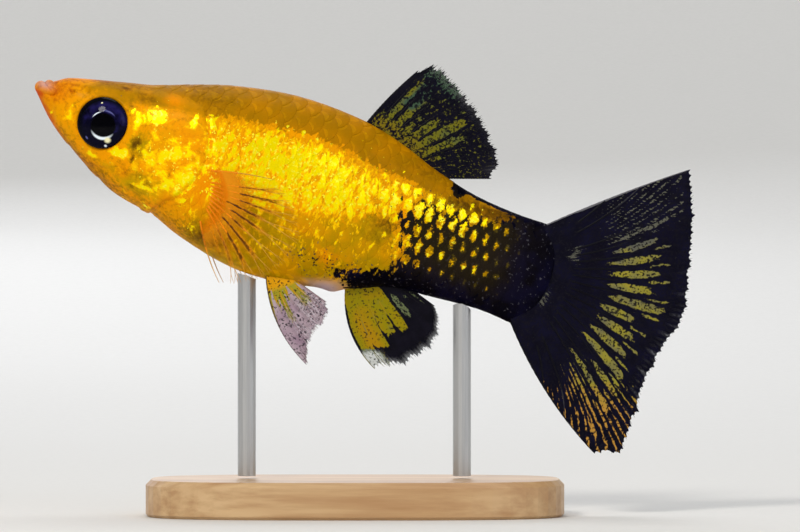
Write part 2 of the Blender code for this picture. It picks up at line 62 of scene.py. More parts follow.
def smoothCurve(points):
    table = np.array(points, float)  # rows of (t, value, ...)
    ts, values = table[:, 0], table[:, 1:]
    last = len(ts) - 1
    after, before = np.minimum(np.arange(last + 1) + 1, last), np.maximum(np.arange(last + 1) - 1, 0)
    slopes = (values[after] - values[before]) / (ts[after] - ts[before])[:, None]

    def at(t):
        t = np.asarray(t, float)
        i = np.clip(np.searchsorted(ts, t, side="right") - 1, 0, last - 1)
        width = (ts[i + 1] - ts[i])[..., None]
        s = np.clip((t - ts[i])[..., None] / width, 0, 1)
        rise = s * s * (3 - 2 * s)
        found = values[i] + (values[i + 1] - values[i]) * rise
        found += slopes[i] * s * (1 - s) ** 2 * width - slopes[i + 1] * s * s * (1 - s) * width
        return found[..., 0] if found.shape[-1] == 1 else found

    return at


def pathOf(points):
    table = np.array(points, float)  # side-view points, followed by the share of the path's length
    lengths = np.concatenate([[0], np.cumsum(np.linalg.norm(np.diff(table, axis=0), axis=1))])
    return smoothCurve(np.column_stack([lengths / lengths[-1], table]))


def fade(low, high, t):
    s = np.clip((t - low) / (high - low), 0, 1)
    return s * s * (3 - 2 * s)


def hump(middle, width, t):
    return np.exp(-(((t - middle) / width) ** 2))


def unit(vectors):
    return vectors / np.maximum(np.linalg.norm(vectors, axis=-1, keepdims=True), 1e-9)


# The body

body = {
    "stations": [  # from the snout, the back's height, the belly's depth, half the breadth
        (-0.4, 0.60, 0.05, 0.70),
        (0.0, 0.90, -0.35, 1.35),
        (0.8, 1.35, -1.05, 1.95),
        (1.6, 1.95, -1.80, 2.40),
        (3.0, 2.50, -3.00, 3.00),
        (5.0, 3.10, -4.35, 3.60),
        (8.25, 3.95, -6.20, 4.35),
        (12.0, 5.00, -7.65, 5.10),
        (16.0, 6.50, -8.35, 5.80),
        (20.0, 7.85, -9.75, 6.25),
        (26.0, 9.10, -11.00, 6.45),
        (31.0, 9.40, -10.95, 6.15),
        (36.0, 9.05, -10.00, 5.20),
        (40.0, 8.20, -8.80, 4.25),
        (44.0, 6.90, -7.15, 3.40),
        (49.0, 5.70, -6.55, 2.60),
        (54.0, 5.30, -6.10, 1.85),
        (58.0, 5.40, -6.35, 1.10),
        (60.5, 5.60, -6.60, 0.75),
    ],
    "widestShift": [(-0.4, 0.0), (8.0, 0.1), (26.0, -1.2), (44.0, -0.3), (60.5, 0.0)],
    "backSquareness": [(-0.4, 2.1), (5.0, 2.9), (12.0, 2.8), (26.0, 2.2), (60.5, 2.1)],
    "bellySquareness": [(-0.4, 2.1), (8.0, 2.3), (26.0, 2.1), (60.5, 2.1)],
    "roundStart": 57.5,
    "stalkEnd": 60.3,
    "faceStart": 3.0,  # ahead of here the skin is drawn round the lips
    "coatDepth": 0.06,
}
bodyLines = smoothCurve(body["stations"])
widestShift = smoothCurve(body["widestShift"])
backSquareness = smoothCurve(body["backSquareness"])
bellySquareness = smoothCurve(body["bellySquareness"])


def sectionPoint(x, angle):
    lines = bodyLines(x)
    back, belly, breadth = lines[..., 0], lines[..., 1], lines[..., 2]
    level = (back + belly) / 2 + widestShift(x)
    share = np.clip((x - body["roundStart"]) / (body["stalkEnd"] - body["roundStart"]), 0, 1)
    shrink = np.sqrt(1 - share * share)
    across, up = np.cos(angle), np.sin(angle)
    above = up > 0
    power = 2 / np.where(above, backSquareness(x), bellySquareness(x))
    reach = np.where(above, back - level, level - belly) * shrink
    y = np.sign(across) * np.abs(across) ** power * breadth
    z = level + np.sign(up) * np.abs(up) ** power * reach
    return np.stack([x + 0 * y, y, z], -1)


def makeBodyMap(steps=640, cuts=241, fineCuts=601):
    # One flank as a grid: distance from the snout by share of the way round, from belly to back
    xs = np.linspace(body["faceStart"], body["stalkEnd"] - 0.03, steps)
    angles = np.linspace(-math.pi / 2, math.pi / 2, fineCuts)
    fine = sectionPoint(xs[:, None] + 0 * angles[None, :], angles[None, :])
    runs = np.linalg.norm(np.diff(fine, axis=1), axis=2)
    lengths = np.concatenate([np.zeros((steps, 1)), np.cumsum(runs, axis=1)], axis=1)
    shares = np.linspace(0, 1, cuts)
    points = np.empty((steps, cuts, 3))
    for i in range(steps):
        points[i] = sectionPoint(xs[i], np.interp(shares * lengths[i, -1], lengths[i], angles))
    points[:, [0, -1], 1] = 0
    normals = np.cross(np.gradient(points, axis=1), np.gradient(points, axis=0))
    normals[:, [0, -1], 1] = 0
    return {"xs": xs, "shares": shares, "points": points, "normals": unit(normals), "round": lengths[:, -1]}


bodyMap = makeBodyMap()


def onBody(x, share, side, out=0.0):
    grid = bodyMap["points"].shape
    i = np.clip((x - bodyMap["xs"][0]) / (bodyMap["xs"][1] - bodyMap["xs"][0]), 0, grid[0] - 1.0001)
    j = np.clip(share * (grid[1] - 1), 0, grid[1] - 1.0001)
    low, left = i.astype(int), j.astype(int)
    p, q = (i - low)[..., None], (j - left)[..., None]
    found = []
    for field in (bodyMap["points"], bodyMap["normals"]):
        near = field[low, left] * (1 - q) + field[low, left + 1] * q
        far = field[low + 1, left] * (1 - q) + field[low + 1, left + 1] * q
        found.append(near * (1 - p) + far * p)
    point = found[0] + unit(found[1]) * np.asarray(out)[..., None]
    point[..., 1] *= side
    return point


def flankAt(x, z):
    # Half the breadth at that place of the side view
    row = np.searchsorted(bodyMap["xs"], x)
    points = bodyMap["points"][min(row, len(bodyMap["xs"]) - 1)]
    return float(np.interp(z, points[:, 2], points[:, 1]))


# Markings, the same for skin and scales, as fields over the side view

markings = {
    "goldTop": [
        (6, 1.0), (10, 1.9), (14, 2.9), (17, 3.3), (20, 3.9), (22, 4.6), (26, 5.1), (30, 5.5), (34, 5.4),
        (38, 4.9), (42, 4.5), (46, 4.2), (50, 3.9), (55, 3.2), (61, 2.5),
    ],
    "gleamBottom": [
        (6, -3.2), (14, -4.6), (20, -5.2), (23, -3.8), (30, -2.2), (36, -1.0), (41, 0.3), (46, -6),
        (61, -7),
    ],
    "blackFront": [
        (-11, 40.0), (-8.6, 38.4), (-7.6, 36.8), (-6.8, 38.6), (-6.0, 40.8), (-5.0, 42.6), (-3.5, 43.1),
        (-1.5, 42.9), (0.5, 42.3), (2.0, 42.3), (3.0, 43.4), (3.8, 45.4), (4.4, 47.6), (5.0, 52.5), (9, 55),
    ],
    "blackTop": [(44, 3.7), (47, 3.3), (50, 2.9), (52, 2.9), (53.2, 3.2), (54.3, 4.4), (55.3, 7.5)],
    "spotSize": [
        (40.5, 1.1), (43, 1.2), (46, 1.2), (50, 1.15), (53, 1.05), (54.6, 0.75), (56, 0.25), (58, 0.1),
        (61, 0.0),
    ],
    "gleams": [  # place, reach and strength of the glittering patches of head and shoulder
        (11.9, 0.7, 0.5, 0.9, 0.76), (13.7, 2.1, 1.3, 0.6, 0.76), (13.2, 1.3, 1.5, 0.9, 0.7),
        (2.45, -1.7, 0.12, 0.7, 0.5), (16.1, -7.7, 0.7, 0.12, 0.6), (11.8, -3.2, 0.5, 0.4, 0.76),
        (17.8, 2.7, 0.3, 0.8, 0.74), (20.2, 3.1, 1.0, 1.1, 0.72), (16.6, -1.6, 1.6, 0.8, 0.74),
        (15.2, -3.2, 1.3, 1.1, 0.52), (17.5, -2.6, 0.7, 0.8, 0.66), (19.2, -3.4, 1.0, 1.6, 0.76),
        (18.8, -4.9, 1.2, 0.6, 0.72), (11.2, -3.5, 1.0, 0.4, 0.84), (13.8, -2.3, 0.8, 0.7, 0.46),
        (17.1, -5.2, 0.7, 0.4, 0.66), (15.2, -6.0, 1.5, 0.3, 0.5), (19.6, -6.2, 1.2, 0.8, 0.5),
        (21.3, -8.5, 0.7, 0.5, 0.56), (20.6, 0.6, 0.8, 1.5, 0.74), (18.9, -1.2, 1.1, 0.8, 0.58),
        (31.2, -2.8, 0.7, 0.5, 0.6), (26.7, -5.5, 0.4, 0.5, 0.62), (30.4, -5.0, 0.4, 0.7, 0.6),
        (28.5, -5.2, 0.3, 0.6, 0.52), (27.2, -7.2, 0.5, 0.4, 0.6), (25.0, -6.4, 0.4, 0.5, 0.56),
        (29.3, -7.2, 0.4, 0.4, 0.54), (26.4, -8.4, 0.4, 0.3, 0.54), (4.4, -1.4, 1.0, 1.2, 0.3),
        (8.2, -4.5, 2.4, 0.5, 0.32), (16.0, -2.0, 4.4, 5.0, 0.42), (19.0, 0.4, 1.4, 1.4, 0.3),
    ],
    "olives": [  # the same for the dull olive patches
        (12.9, -2.0, 1.1, 1.7, 0.95), (14.2, 0.1, 1.4, 0.5, 0.4), (14.8, -5.8, 3.2, 1.3, 0.9),
        (10.5, -5.4, 1.6, 0.7, 0.6), (18.3, 4.7, 1.9, 1.0, 0.7), (40.6, -2.8, 2.6, 2.8, 0.85),
        (22.0, -9.0, 1.6, 1.0, 0.5),
    ],
    "umbers": [  # and for the dark brown ones
        (12.9, -1.6, 0.9, 1.4, 0.52), (12.2, -5.0, 1.6, 0.7, 0.38), (14.2, -6.9, 2.6, 0.6, 0.38),
        (12.5, -1.8, 0.5, 0.9, 0.95), (12.7, -3.5, 0.22, 0.5, 0.9), (14.0, -2.0, 0.3, 0.35, 0.6),
        (13.0, -2.6, 0.7, 0.7, 0.5), (11.8, 3.2, 1.3, 0.5, 0.62), (9.3, 3.5, 0.6, 0.16, 0.9),
        (7.2, 3.4, 2.6, 0.5, 0.5), (18.2, 5.2, 2.2, 0.9, 0.5), (13.5, -6.3, 0.6, 0.2, 0.62),
        (15.0, -5.4, 1.3, 0.4, 0.42), (23.2, -8.9, 2.4, 1.0, 0.84), (21.0, 6.0, 1.6, 0.6, 0.42),
        (44.0, 6.2, 3.5, 0.8, 0.4), (4.0, -3.0, 1.2, 0.12, 0.4), (15.0, 6.6, 5.0, 0.9, 0.46),
        (17.2, -3.9, 0.25, 0.6, 0.4), (2.4, 1.2, 2.8, 1.4, 0.42), (7.5, 4.2, 5.0, 1.0, 0.5),
        (41.2, -0.9, 1.3, 0.9, 0.85), (40.6, -2.6, 1.4, 0.9, 0.45), (42.4, -3.2, 0.7, 0.6, 0.4),
        (45.0, 3.0, 1.5, 1.2, 0.42), (14.0, -4.9, 1.8, 0.5, 0.42), (10.5, 1.9, 0.5, 1.2, 0.4),
    ],
    "inks": [  # for the black streaks ahead of the black rear
        (41.6, 2.4, 0.3, 0.7, 0.9), (42.5, 0.6, 0.25, 1.5, 0.9), (43.9, 2.2, 0.22, 1.6, 0.75),
        (42.9, -1.7, 0.2, 0.5, 0.8), (41.4, -0.4, 0.25, 0.25, 0.55), (40.6, -1.3, 0.3, 0.2, 0.5),
        (44.7, 3.5, 0.4, 0.3, 0.6), (40.9, -2.4, 0.5, 0.2, 0.45),
    ],
    "oranges": [  # and for the plain orange ones
        (14.8, 4.0, 1.0, 0.7, 0.75), (17.7, 0.5, 1.3, 0.9, 0.62), (21.4, -3.8, 1.1, 2.3, 1.0),
        (12.2, -5.2, 0.8, 0.7, 0.7), (17.8, -6.4, 0.9, 0.9, 0.6), (8.0, -5.6, 4.0, 0.4, 0.5),
        (36.0, -6.2, 1.4, 0.8, 0.7), (33.0, -4.4, 1.0, 0.8, 0.5), (16.2, -7.5, 0.9, 0.2, 0.8),
        (2.6, 0.6, 1.3, 0.9, 0.7), (24.0, -7.0, 1.0, 1.0, 0.5),
    ],
}
goldTop, gleamBottom = smoothCurve(markings["goldTop"]), smoothCurve(markings["gleamBottom"])
blackFront, blackTop = smoothCurve(markings["blackFront"]), smoothCurve(markings["blackTop"])
spotSize = smoothCurve(markings["spotSize"])


def patches(spots, x, z):
    found = 0 * x
    for spotX, spotZ, reachX, reachZ, strength in spots:
        found = np.maximum(found, strength * hump(spotX, 1.25 * reachX, x) * hump(spotZ, 1.25 * reachZ, z))
    return found


def blackRear(x, z, height):
    # Deeper with the way past its front, thinner over its top line, full on saddle, ridge and stalk end
    inside = x - blackFront(z)
    black = 0.46 * fade(-1.8, 1.4, inside) + 0.5 * fade(0.5, 7.0, inside)
    black = np.maximum(black, 0.75 * patches(markings["inks"], x, z))
    black = black * (1 - 0.62 * fade(-0.8, 0.8, z - blackTop(x)) * (1 - fade(53.4, 55.2, x)))
    saddle = fade(46.2, 47.0, x) * (1 - fade(48.0, 48.8, x)) * fade(4.3, 5.2, z)
    ridge = fade(0.955, 0.99, height) * fade(46, 48, x)
    tailEnd = 0 * x + fade(55, 56.5, x)
    return np.maximum.reduce([black, saddle, ridge, tailEnd])


def flankGleam(x, z, height, black):
    # Strongest along the band under the gold's top line, dimmer on the belly, the black and two places
    gleam = fade(-0.8, 2.0, goldTop(x) - z) * (0.28 + 0.37 * fade(-2.2, 0.8, z - gleamBottom(x)))
    gleam = gleam * fade(17.6, 22.2, x + 0.2 * z) * fade(0.04, 0.2, height) * (1 - 0.2 * fade(35, 42, x))
    gleam = gleam * (1 - 0.7 * black) - 0.3 * hump(41.2, 1.5, x) * hump(-1.2, 1.6, z)
    gleam = gleam - 0.12 * hump(22.8, 1.4, x) * hump(1.6, 2.2, z) + 0.06 * hump(31, 5, x) * hump(3.4, 1.6, z)
    return np.clip(np.maximum(gleam, patches(markings["gleams"], x, z)), 0, 1)


def rosyFace(x, z, height):
    lips = np.maximum(hump(0.2, 1.1, x) * hump(-0.3, 0.55, z), 0.7 * hump(1.5, 0.5, x) * hump(1.75, 0.35, z))
    # Painted shade: a rosier, darker band along the jaw's lower edge, widest and strongest near the snout
    jawEdgeShade = (1 - fade(0.02, 0.16 + 0.3 * (1 - fade(1, 4, x)), height)) * (1 - fade(9, 19, x))
    jawEdgeShade = jawEdgeShade * (0.2 + 0.5 * (1 - fade(2, 6, x)))
    snout = 0.4 * (1 - fade(1.5, 6.5, x - 0.6 * z)) + 0.2 * (1 - fade(9, 16, x)) * fade(2.4, 3.6, z)
    return np.clip(np.maximum.reduce([lips, jawEdgeShade, snout]), 0, 1)


def scaleSpots(x, z):
    # How large the gold spot on a scale is: spots on the black, and a fringe over the gold's top line
    spots = spotSize(x) * fade(-6.2, -1.8, z) * (1 - 0.8 * fade(4.2, 5.1, z)) * fade(39.0, 40.5, x)
    spots = spots * (1 + 0.6 * fade(-0.5, 3, z) * (1 - fade(49, 53, x)))
    spots = spots * (1 - 0.9 * patches(markings["inks"], x, z))
    fringe = 1.7 * hump(goldTop(x) + 0.6, 0.9, z) * fade(23, 27, x) * (1 - fade(42, 44, x))
    return np.maximum(spots, fringe)


def paint(points):
    # Where each pigment, the gleam and the painted shade along the underside lie, as three-part fields of 0
    # to 1
    x, z = points[..., 0], points[..., 2]
    lines = bodyLines(np.clip(x, 0, 60.5))
    height = np.clip((z - lines[..., 1]) / (lines[..., 0] - lines[..., 1]), 0, 1)
    back = fade(-0.9, 0.9, z - goldTop(x)) * fade(2, 9, x)
    belly = (1 - fade(-2.6, 0.6, z - gleamBottom(x))) * fade(17, 24, x)
    belly = np.maximum.reduce([belly, patches(markings["olives"], x, z), 0.85 * fade(41, 46, x)])
    black = blackRear(x, z, height)
    gleam = flankGleam(x, z, height, black)
    slant = 0.24 * (x - 35)
    vent = hump(37.2, 1.8, x) * (1 - fade(slant - 10.1, slant - 8.9, z))
    lining = hump(0.7, 0.8, x) * hump(0.85, 0.45, z)
    pale = np.clip(np.maximum(vent, 0.5 * lining), 0, 1)
    zone = 0.5 * fade(42, 45, x) * fade(-0.5, 0.5, x - blackFront(z))
    zone = zone + 0.4 * fade(44, 48, x) * fade(3.4, 4.4, z)
    # Painted shade: umber along the lower edge of the head and front body, from the snout back to about 30 mm
    under = (0.55 - 0.2 * fade(10, 14, x)) * (1 - fade(0.03, 0.2, height)) * fade(1, 5, x)
    under = under * (1 - fade(22, 30, x))
    dots = fade(28, 36, x) * (1 - fade(43, 45, x)) * hump(-7.2, 1.9, z)
    rearDots = 0.5 * fade(40, 42, x) * (1 - fade(48, 52, x)) * fade(-4, -1, z) * (1 - fade(4, 5, z))
    # The umber field holds the dark brown patches, the darker zone by the black rear and the painted shade
    # along the underside
    umber = np.maximum.reduce([patches(markings["umbers"], x, z), zone, under])
    return {
        "pigment": np.stack([back, belly, black], -1),
        "lustre": np.stack([gleam, rosyFace(x, z, height), pale], -1),
        "marks": np.stack([patches(markings["oranges"], x, z), umber, np.maximum(dots, rearDots)], -1),
        "spots": scaleSpots(x, z),
    }


# Nodes, meshes and pieces

def shade(hexText):
    # A colour in sRGB hex as the linear colour that Blender works with
    parts = [int(hexText[k:k + 2], 16) / 255 for k in (1, 3, 5)]
    linear = [p / 12.92 if p <= 0.04045 else ((p + 0.055) / 1.055) ** 2.4 for p in parts]
    return (*linear, 1.0)


def feed(tree, node, inputs):
    # Each input is another node, by its first output, or a socket, a colour in hex or a plain value
    for name, value in inputs.items():
        if isinstance(value, bpy.types.Node):
            value = value.outputs[0]
        if isinstance(value, bpy.types.NodeSocket):
            tree.links.new(value, node.inputs[name])
        else:
            node.inputs[name].default_value = shade(value) if str(value).startswith("#") else value


def add(tree, kind, inputs=None, **settings):
    # A node with its settings and what flows into it
    node = tree.nodes.new(kind)
    for name, value in settings.items():
        setattr(node, name, value)
    feed(tree, node, inputs or {})
    return node


def setField(mesh, label, values):
    # One number or one vector for each point, which a finish reads by its name
    kind, slot = ("FLOAT_VECTOR", "vector") if np.ndim(values) == 2 else ("FLOAT", "value")
    field = mesh.attributes.new(label, kind, "POINT")
    field.data.foreach_set(slot, np.ravel(values).astype(np.float32))


def turnOutwards(mesh):
    work = bmesh.new()
    work.from_mesh(mesh)
    bmesh.ops.recalc_face_normals(work, faces=work.faces)
    work.to_mesh(mesh)
    work.free()


def newObject(name, data):
    made = bpy.data.objects.new(name, data)
    bpy.context.scene.collection.objects.link(made)
    return made


def newMesh(name, points, faces, fields=None):
    mesh = bpy.data.meshes.new(name)
    mesh.from_pydata(toStand(np.asarray(points, float)).tolist(), [], [tuple(f) for f in faces])
    for label, values in (fields or {}).items():
        setField(mesh, label, values)
    turnOutwards(mesh)
    mesh.shade_smooth()
    return newObject(name, mesh)


def loopFaces(loops, count):
    # Quads between closed loops that follow one another, and fans at both ends to the two last points
    k = np.arange(count)
    faces = []
    for r in range(loops - 1):
        a, b = r * count + k, r * count + (k + 1) % count
        faces.extend(np.column_stack([a, b, b + count, a + count]).tolist())
    for k in range(count):
        for loop, end in ((0, 0), (loops - 1, 1)):
            faces.append((loop * count + k, loop * count + (k + 1) % count, loops * count + end))
    return faces


def place(piece, finish, replaced=()):
    # The last step of every piece: its finish, its slot, what it stands for, and the body it rides on
    piece.data.materials.clear()
    piece.data.materials.append(finish)
    if replaced:
        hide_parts(*replaced)
    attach(piece, "root")
    print("piece:", piece.name, len(piece.data.polygons), "faces")
    return piece


# Skin

mouth = {
    "corner": (2.1, 2.3, 0.1),
    "upper": {"front": (1.08, 1.0), "radius": 0.56},
    "lower": {"front": (0.32, 0.46), "radius": 0.7},
    "cornerRadius": 0.12,
    "foldDeg": -82.0,  # where a lip's roll leaves the face
    "foldShift": 16.0,  # how much earlier the upper lip does, and how much later the lower
    "innerDeg": 105.0,  # how far it rolls into the mouth
    "floor": (0.85, 0.0, 0.55),
    "lipLoops": 11,
    "faceLoops": 10,
    "insideShares": (0.25, 0.55, 0.85),
}
eye = {
    "x": 8.25,
    "z": -0.95,
    "radius": 2.83,
    "dome": 1.1,
    "depth": 1.5,
    "sunk": 0.12,
    "yawDeg": 11.0,
    "around": 72,
    "rings": 34,
    "socket": (2.42, 2.92),  # between these distances from its middle the skin rises out of it
    "socketDepth": 0.8,
    "socketRim": (3.1, 0.2, 0.1),  # distance, width and height
}
skin = {
    "halfLoop": 84,  # points from belly to back on each side
    "step": [
        (3, 0.15), (5, 0.14), (11.5, 0.14), (14, 0.17), (21, 0.18), (24, 0.3), (57, 0.3), (60, 0.1),
        (61, 0.05),
    ],
    "gillEdge": [
        (-10.5, 15.2), (-7.4, 16.8), (-5.4, 18.7), (-2.4, 20.1), (0.6, 20.0), (3.4, 18.6), (6.2, 16.9),
        (9.0, 16.3),
    ],
    "gillProud": 0.24,
    "gillSlit": 0.14,
    "grooves": [  # side-view path, width, depth
        ([(11.4, 2.4), (12.6, 0.8), (13.0, -1.4), (12.7, -3.8), (11.0, -5.3), (8.0, -5.9), (5.4, -4.6)],
         0.24, 0.1),
        ([(9.6, -6.8), (12.5, -7.0), (15.0, -6.8), (17.4, -5.9)], 0.16, 0.07),
        ([(13.4, -4.7), (15.8, -4.3), (18.8, -4.6)], 0.2, 0.05),
        ([(2.0, -0.1), (2.4, -1.3), (3.0, -2.5)], 0.2, 0.1),
        ([(10.9, -7.6), (13.2, -8.1), (15.4, -8.1)], 0.14, 0.05),
    ],
    "ridges": [
        ([(11.9, 2.4), (13.1, 0.8), (13.5, -1.4), (13.2, -3.8), (11.4, -5.7)], 0.3, 0.05),
        ([(2.45, 0.1), (2.85, -1.1), (3.45, -2.3)], 0.22, 0.07),
        ([(15.3, -8.2), (16.2, -7.9), (17.0, -7.3)], 0.14, 0.1),
    ],
    "nostrils": [(3.9, 1.2), (5.5, 1.9)],
    "nostrilRadius": 0.26,
    "nostrilDepth": 0.3,
    "pore": (8.5, 3.4),
    "vent": (38.2, -9.3),
}
gillEdge = smoothCurve(skin["gillEdge"])


def eyeFrame(side):
    yaw = math.radians(eye["yawDeg"])
    outwards = np.array([-math.sin(yaw), side * math.cos(yaw), 0.0])
    centre = np.array([eye["x"], side * (flankAt(eye["x"], eye["z"]) - eye["sunk"]), eye["z"]])
    tailwards = np.array([math.cos(yaw), side * math.sin(yaw), 0.0])
    return centre, outwards, tailwards


def awayFrom(path, x, z):
    line = pathOf(path)(np.linspace(0, 1, 70))
    gaps = (x[:, None] - line[None, :, 0]) ** 2 + (z[:, None] - line[None, :, 1]) ** 2
    return np.sqrt(gaps.min(axis=1))


def relief(points):
    # How far the skin stands out of the smooth body, by its folds, openings and bones
    x, z = points[:, 0], points[:, 2]
    ahead = gillEdge(z) - x
    opening = fade(-9.8, -8.2, z) * (1 - fade(3.4, 5.0, z))
    cover = fade(-0.16, 0.14, ahead) * (0.45 + 0.55 * (1 - fade(0.5, 4.5, ahead)))
    cover = cover * (1 - fade(5.0, 7.5, ahead))
    out = skin["gillProud"] * cover * opening - skin["gillSlit"] * hump(-0.32, 0.24, ahead) * opening
    for path, width, depth in skin["grooves"]:
        out = out - depth * hump(0, width, awayFrom(path, x, z))
    for path, width, height in skin["ridges"]:
        out = out + height * hump(0, width, awayFrom(path, x, z))
    for nx, nz in skin["nostrils"]:
        gap = np.hypot(x - nx, z - nz)
        out = out - skin["nostrilDepth"] * hump(0, skin["nostrilRadius"], gap) + 0.06 * hump(0.45, 0.14, gap)
    px, pz = skin["pore"]
    out = out - 0.06 * hump(0, 0.5, x - px) * hump(0, 0.1, z - pz)
    out = out + 0.4 * hump(skin["vent"][0], 1.2, x) * hump(skin["vent"][1] - 0.3, 0.55, z)
    scaled = np.maximum(1 - fade(-1.6, -0.5, ahead), fade(3.4, 4.6, z) * fade(9.6, 12, x))
    return out - body["coatDepth"] * scaled


def settleRound(points, side):
    # Presses the skin into the socket under the eyeball, with a soft rim round it
    centre, outwards, _ = eyeFrame(side)
    offset = points - centre
    depth = offset @ outwards
    gap = np.linalg.norm(offset - depth[:, None] * outwards, axis=1)
    under = (1 - fade(*eye["socket"], gap)) * (side * points[:, 1] > 0)
    distance, width, height = eye["socketRim"]
    lift = height * hump(distance, width, gap) * (side * points[:, 1] > 0)
    return points + ((-eye["socketDepth"] - depth) * under + lift)[:, None] * outwards


def mouthLoops(shares, turn):
    # Loops from the mouth's inside over the rolled lips and back to the face, open end first
    phi = (shares - 0.5) * math.pi
    upper = shares >= 0.5
    cornerX, cornerY, cornerZ = mouth["corner"]
    fronts = {}
    for jaw in ("upper", "lower"):
        fx, fz = mouth[jaw]["front"]
        fronts[jaw] = (fx - cornerX, fz - cornerZ)
    ahead = np.where(upper, fronts["upper"][0], fronts["lower"][0])
    above = np.where(upper, fronts["upper"][1], fronts["lower"][1])
    bend = np.abs(np.sin(phi))
    centre = np.stack([cornerX + ahead * bend, turn * cornerY * np.cos(phi), cornerZ + above * bend], -1)
    slope = np.sign(phi) * np.cos(phi)
    heading = np.stack([ahead * slope, -turn * cornerY * np.sin(phi), above * slope], -1)
    across = np.array(fronts["lower"]) - np.array(fronts["upper"])
    spread = float(np.hypot(*across))
    way = np.where(upper, 1, -1)
    gape = way[:, None] * np.array([across[0], 0, across[1]]) / spread
    out = unit(np.cross(heading, gape))
    front = np.stack([gape[:, 2] * way, turn * np.cos(phi) * 2, -gape[:, 0] * way], -1)
    out = out * np.sign(np.sum(out * front, -1))[:, None]
    full = np.where(upper, mouth["upper"]["radius"], mouth["lower"]["radius"])
    radius = mouth["cornerRadius"] + (full - mouth["cornerRadius"]) * np.sqrt(bend)
    room = 0.48 * spread * bend / radius
    inner = np.where(room < 1, np.degrees(np.arcsin(np.clip(room, 0, 1))),
                     90 + (mouth["innerDeg"] - 90) * fade(1.0, 1.6, room))
    fold = mouth["foldDeg"] + mouth["foldShift"] * bend * way
    lips = []
    for k in range(mouth["lipLoops"]):
        angle = np.radians(inner + (fold - inner) * k / (mouth["lipLoops"] - 1))[:, None]
        lips.append(centre + (out * np.cos(angle) + gape * np.sin(angle)) * radius[:, None])
    floor = np.array(mouth["floor"])
    inside = [lips[0] * (1 - share) + floor * share for share in reversed(mouth["insideShares"])]
    return inside + lips


def faceLoops(shares, turn, lipFold):
    start = onBody(0 * shares + body["faceStart"], shares, turn)
    behind = onBody(0 * shares + body["faceStart"] + 0.3, shares, turn)
    reach = np.linalg.norm(start - lipFold, axis=1)[:, None]
    leave, arrive = (lipFold - start), unit(start - behind) * reach
    loops = []
    for k in range(1, mouth["faceLoops"]):
        t = k / mouth["faceLoops"]
        rise = t * t * (3 - 2 * t)
        loops.append(lipFold + (start - lipFold) * rise - leave * t * (1 - t) ** 2 + arrive * t * t * (1 - t))
    return loops


def skinSurface():
    half = skin["halfLoop"]
    shares = np.concatenate([np.arange(half + 1), np.arange(half - 1, 0, -1)]) / half
    turn = np.concatenate([np.full(half + 1, 1), np.full(half - 1, -1)])
    loops = mouthLoops(shares, turn)
    loops += faceLoops(shares, turn, loops[-1])
    step, x = smoothCurve(skin["step"]), body["faceStart"]
    while x < body["stalkEnd"] - 0.05:
        loops.append(onBody(0 * shares + x, shares, turn))
        x += float(step(x))
    count = 2 * half
    points = np.concatenate(loops + [[mouth["floor"]], [(body["stalkEnd"], 0, np.mean(loops[-1][:, 2]))]])
    return points, loopFaces(len(loops), count), len(mouth["insideShares"]) * count


def makeSkin(finish):
    points, faces, hidden = skinSurface()
    draft = newMesh("skinDraft", points, faces)
    normals = np.array([v.normal for v in draft.data.vertices])
    bpy.data.objects.remove(draft)
    turn = math.radians(pose["noseUpDeg"])
    normals = np.stack([
        normals[:, 0] * math.cos(turn) - normals[:, 2] * math.sin(turn),
        normals[:, 1],
        normals[:, 2] * math.cos(turn) + normals[:, 0] * math.sin(turn),
    ], -1)
    lift = relief(points)
    lift[:hidden] = 0
    moved = points + normals * lift[:, None]
    for side in sides.values():
        moved = settleRound(moved, side)
    piece = newMesh("mollySkin", moved, faces, paint(points))
    replaced = ["head", "gill_cover_left", "gill_cover_right", "torso", "tail_stalk"]
    return place(piece, finish, replaced)


# Scales: a flat net of overlapping lens-shaped scales, wrapped round each flank

scales = {
    "anchor": 50.0,  # one scale of the middle row shows its middle here
    "pitch": [(8, 1.3), (14, 1.45), (22, 1.62), (36, 1.62), (44, 1.36), (50, 1.33), (58, 1.28), (61, 1.28)],
    "rowHeight": [(8, 1.4), (14, 1.8), (22, 2.1), (32, 2.2), (40, 1.95), (50, 1.76), (58, 1.6), (61, 1.5)],
    "middleRow": [(8, 2.0), (20, 1.3), (28, 1.1), (36, 0.5), (45, -0.1), (50, -0.35), (61, -0.5)],
    "rows": (-9, 9),
    "shares": (0.02, 0.985),  # of the way from belly to back, where rows may lie
    "napeFront": 10.6,
    "lastColumn": 59.4,
    "halfLength": 1.1,  # in pitches
    "halfHeight": 0.96,  # in rows
    "rootShift": 0.58,  # how far the scale's own middle lies ahead of what shows of it
    "thickness": 0.03,
    "frontSink": -0.02,
    "rearLift": 0.03,
    "segments": 20,
    "rings": 4,
    "flare": 0.78,  # how much fuller than round the outline is
    "roll": 0.05,
    "rollSeed": 4,
    "jitter": (0.05, 0.03),  # along the row, in mm, and across it, in rows
    "seeds": {"Left": 11, "Right": 12},
    "map": {  # where the scales lie on the colour map
        "length": 62,
        "middles": {"Left": 0.26, "Right": 0.74},
        "height": 0.46,
        "patch": 0.003,
    },
}
pitchAt, rowAt = smoothCurve(scales["pitch"]), smoothCurve(scales["rowHeight"])
middleAt = smoothCurve(scales["middleRow"])


def middleShares():
    found = []
    for x, points in zip(bodyMap["xs"], bodyMap["points"]):
        found.append(np.interp(float(middleAt(x)), points[:, 2], bodyMap["shares"]))
    return np.array(found)


middleShare = middleShares()


def netShare(x, row):
    # Share of the way from belly to back where a row of the net lies
    whole = np.interp(x, bodyMap["xs"], bodyMap["round"])
    return np.interp(x, bodyMap["xs"], middleShare) + row * rowAt(x) / whole


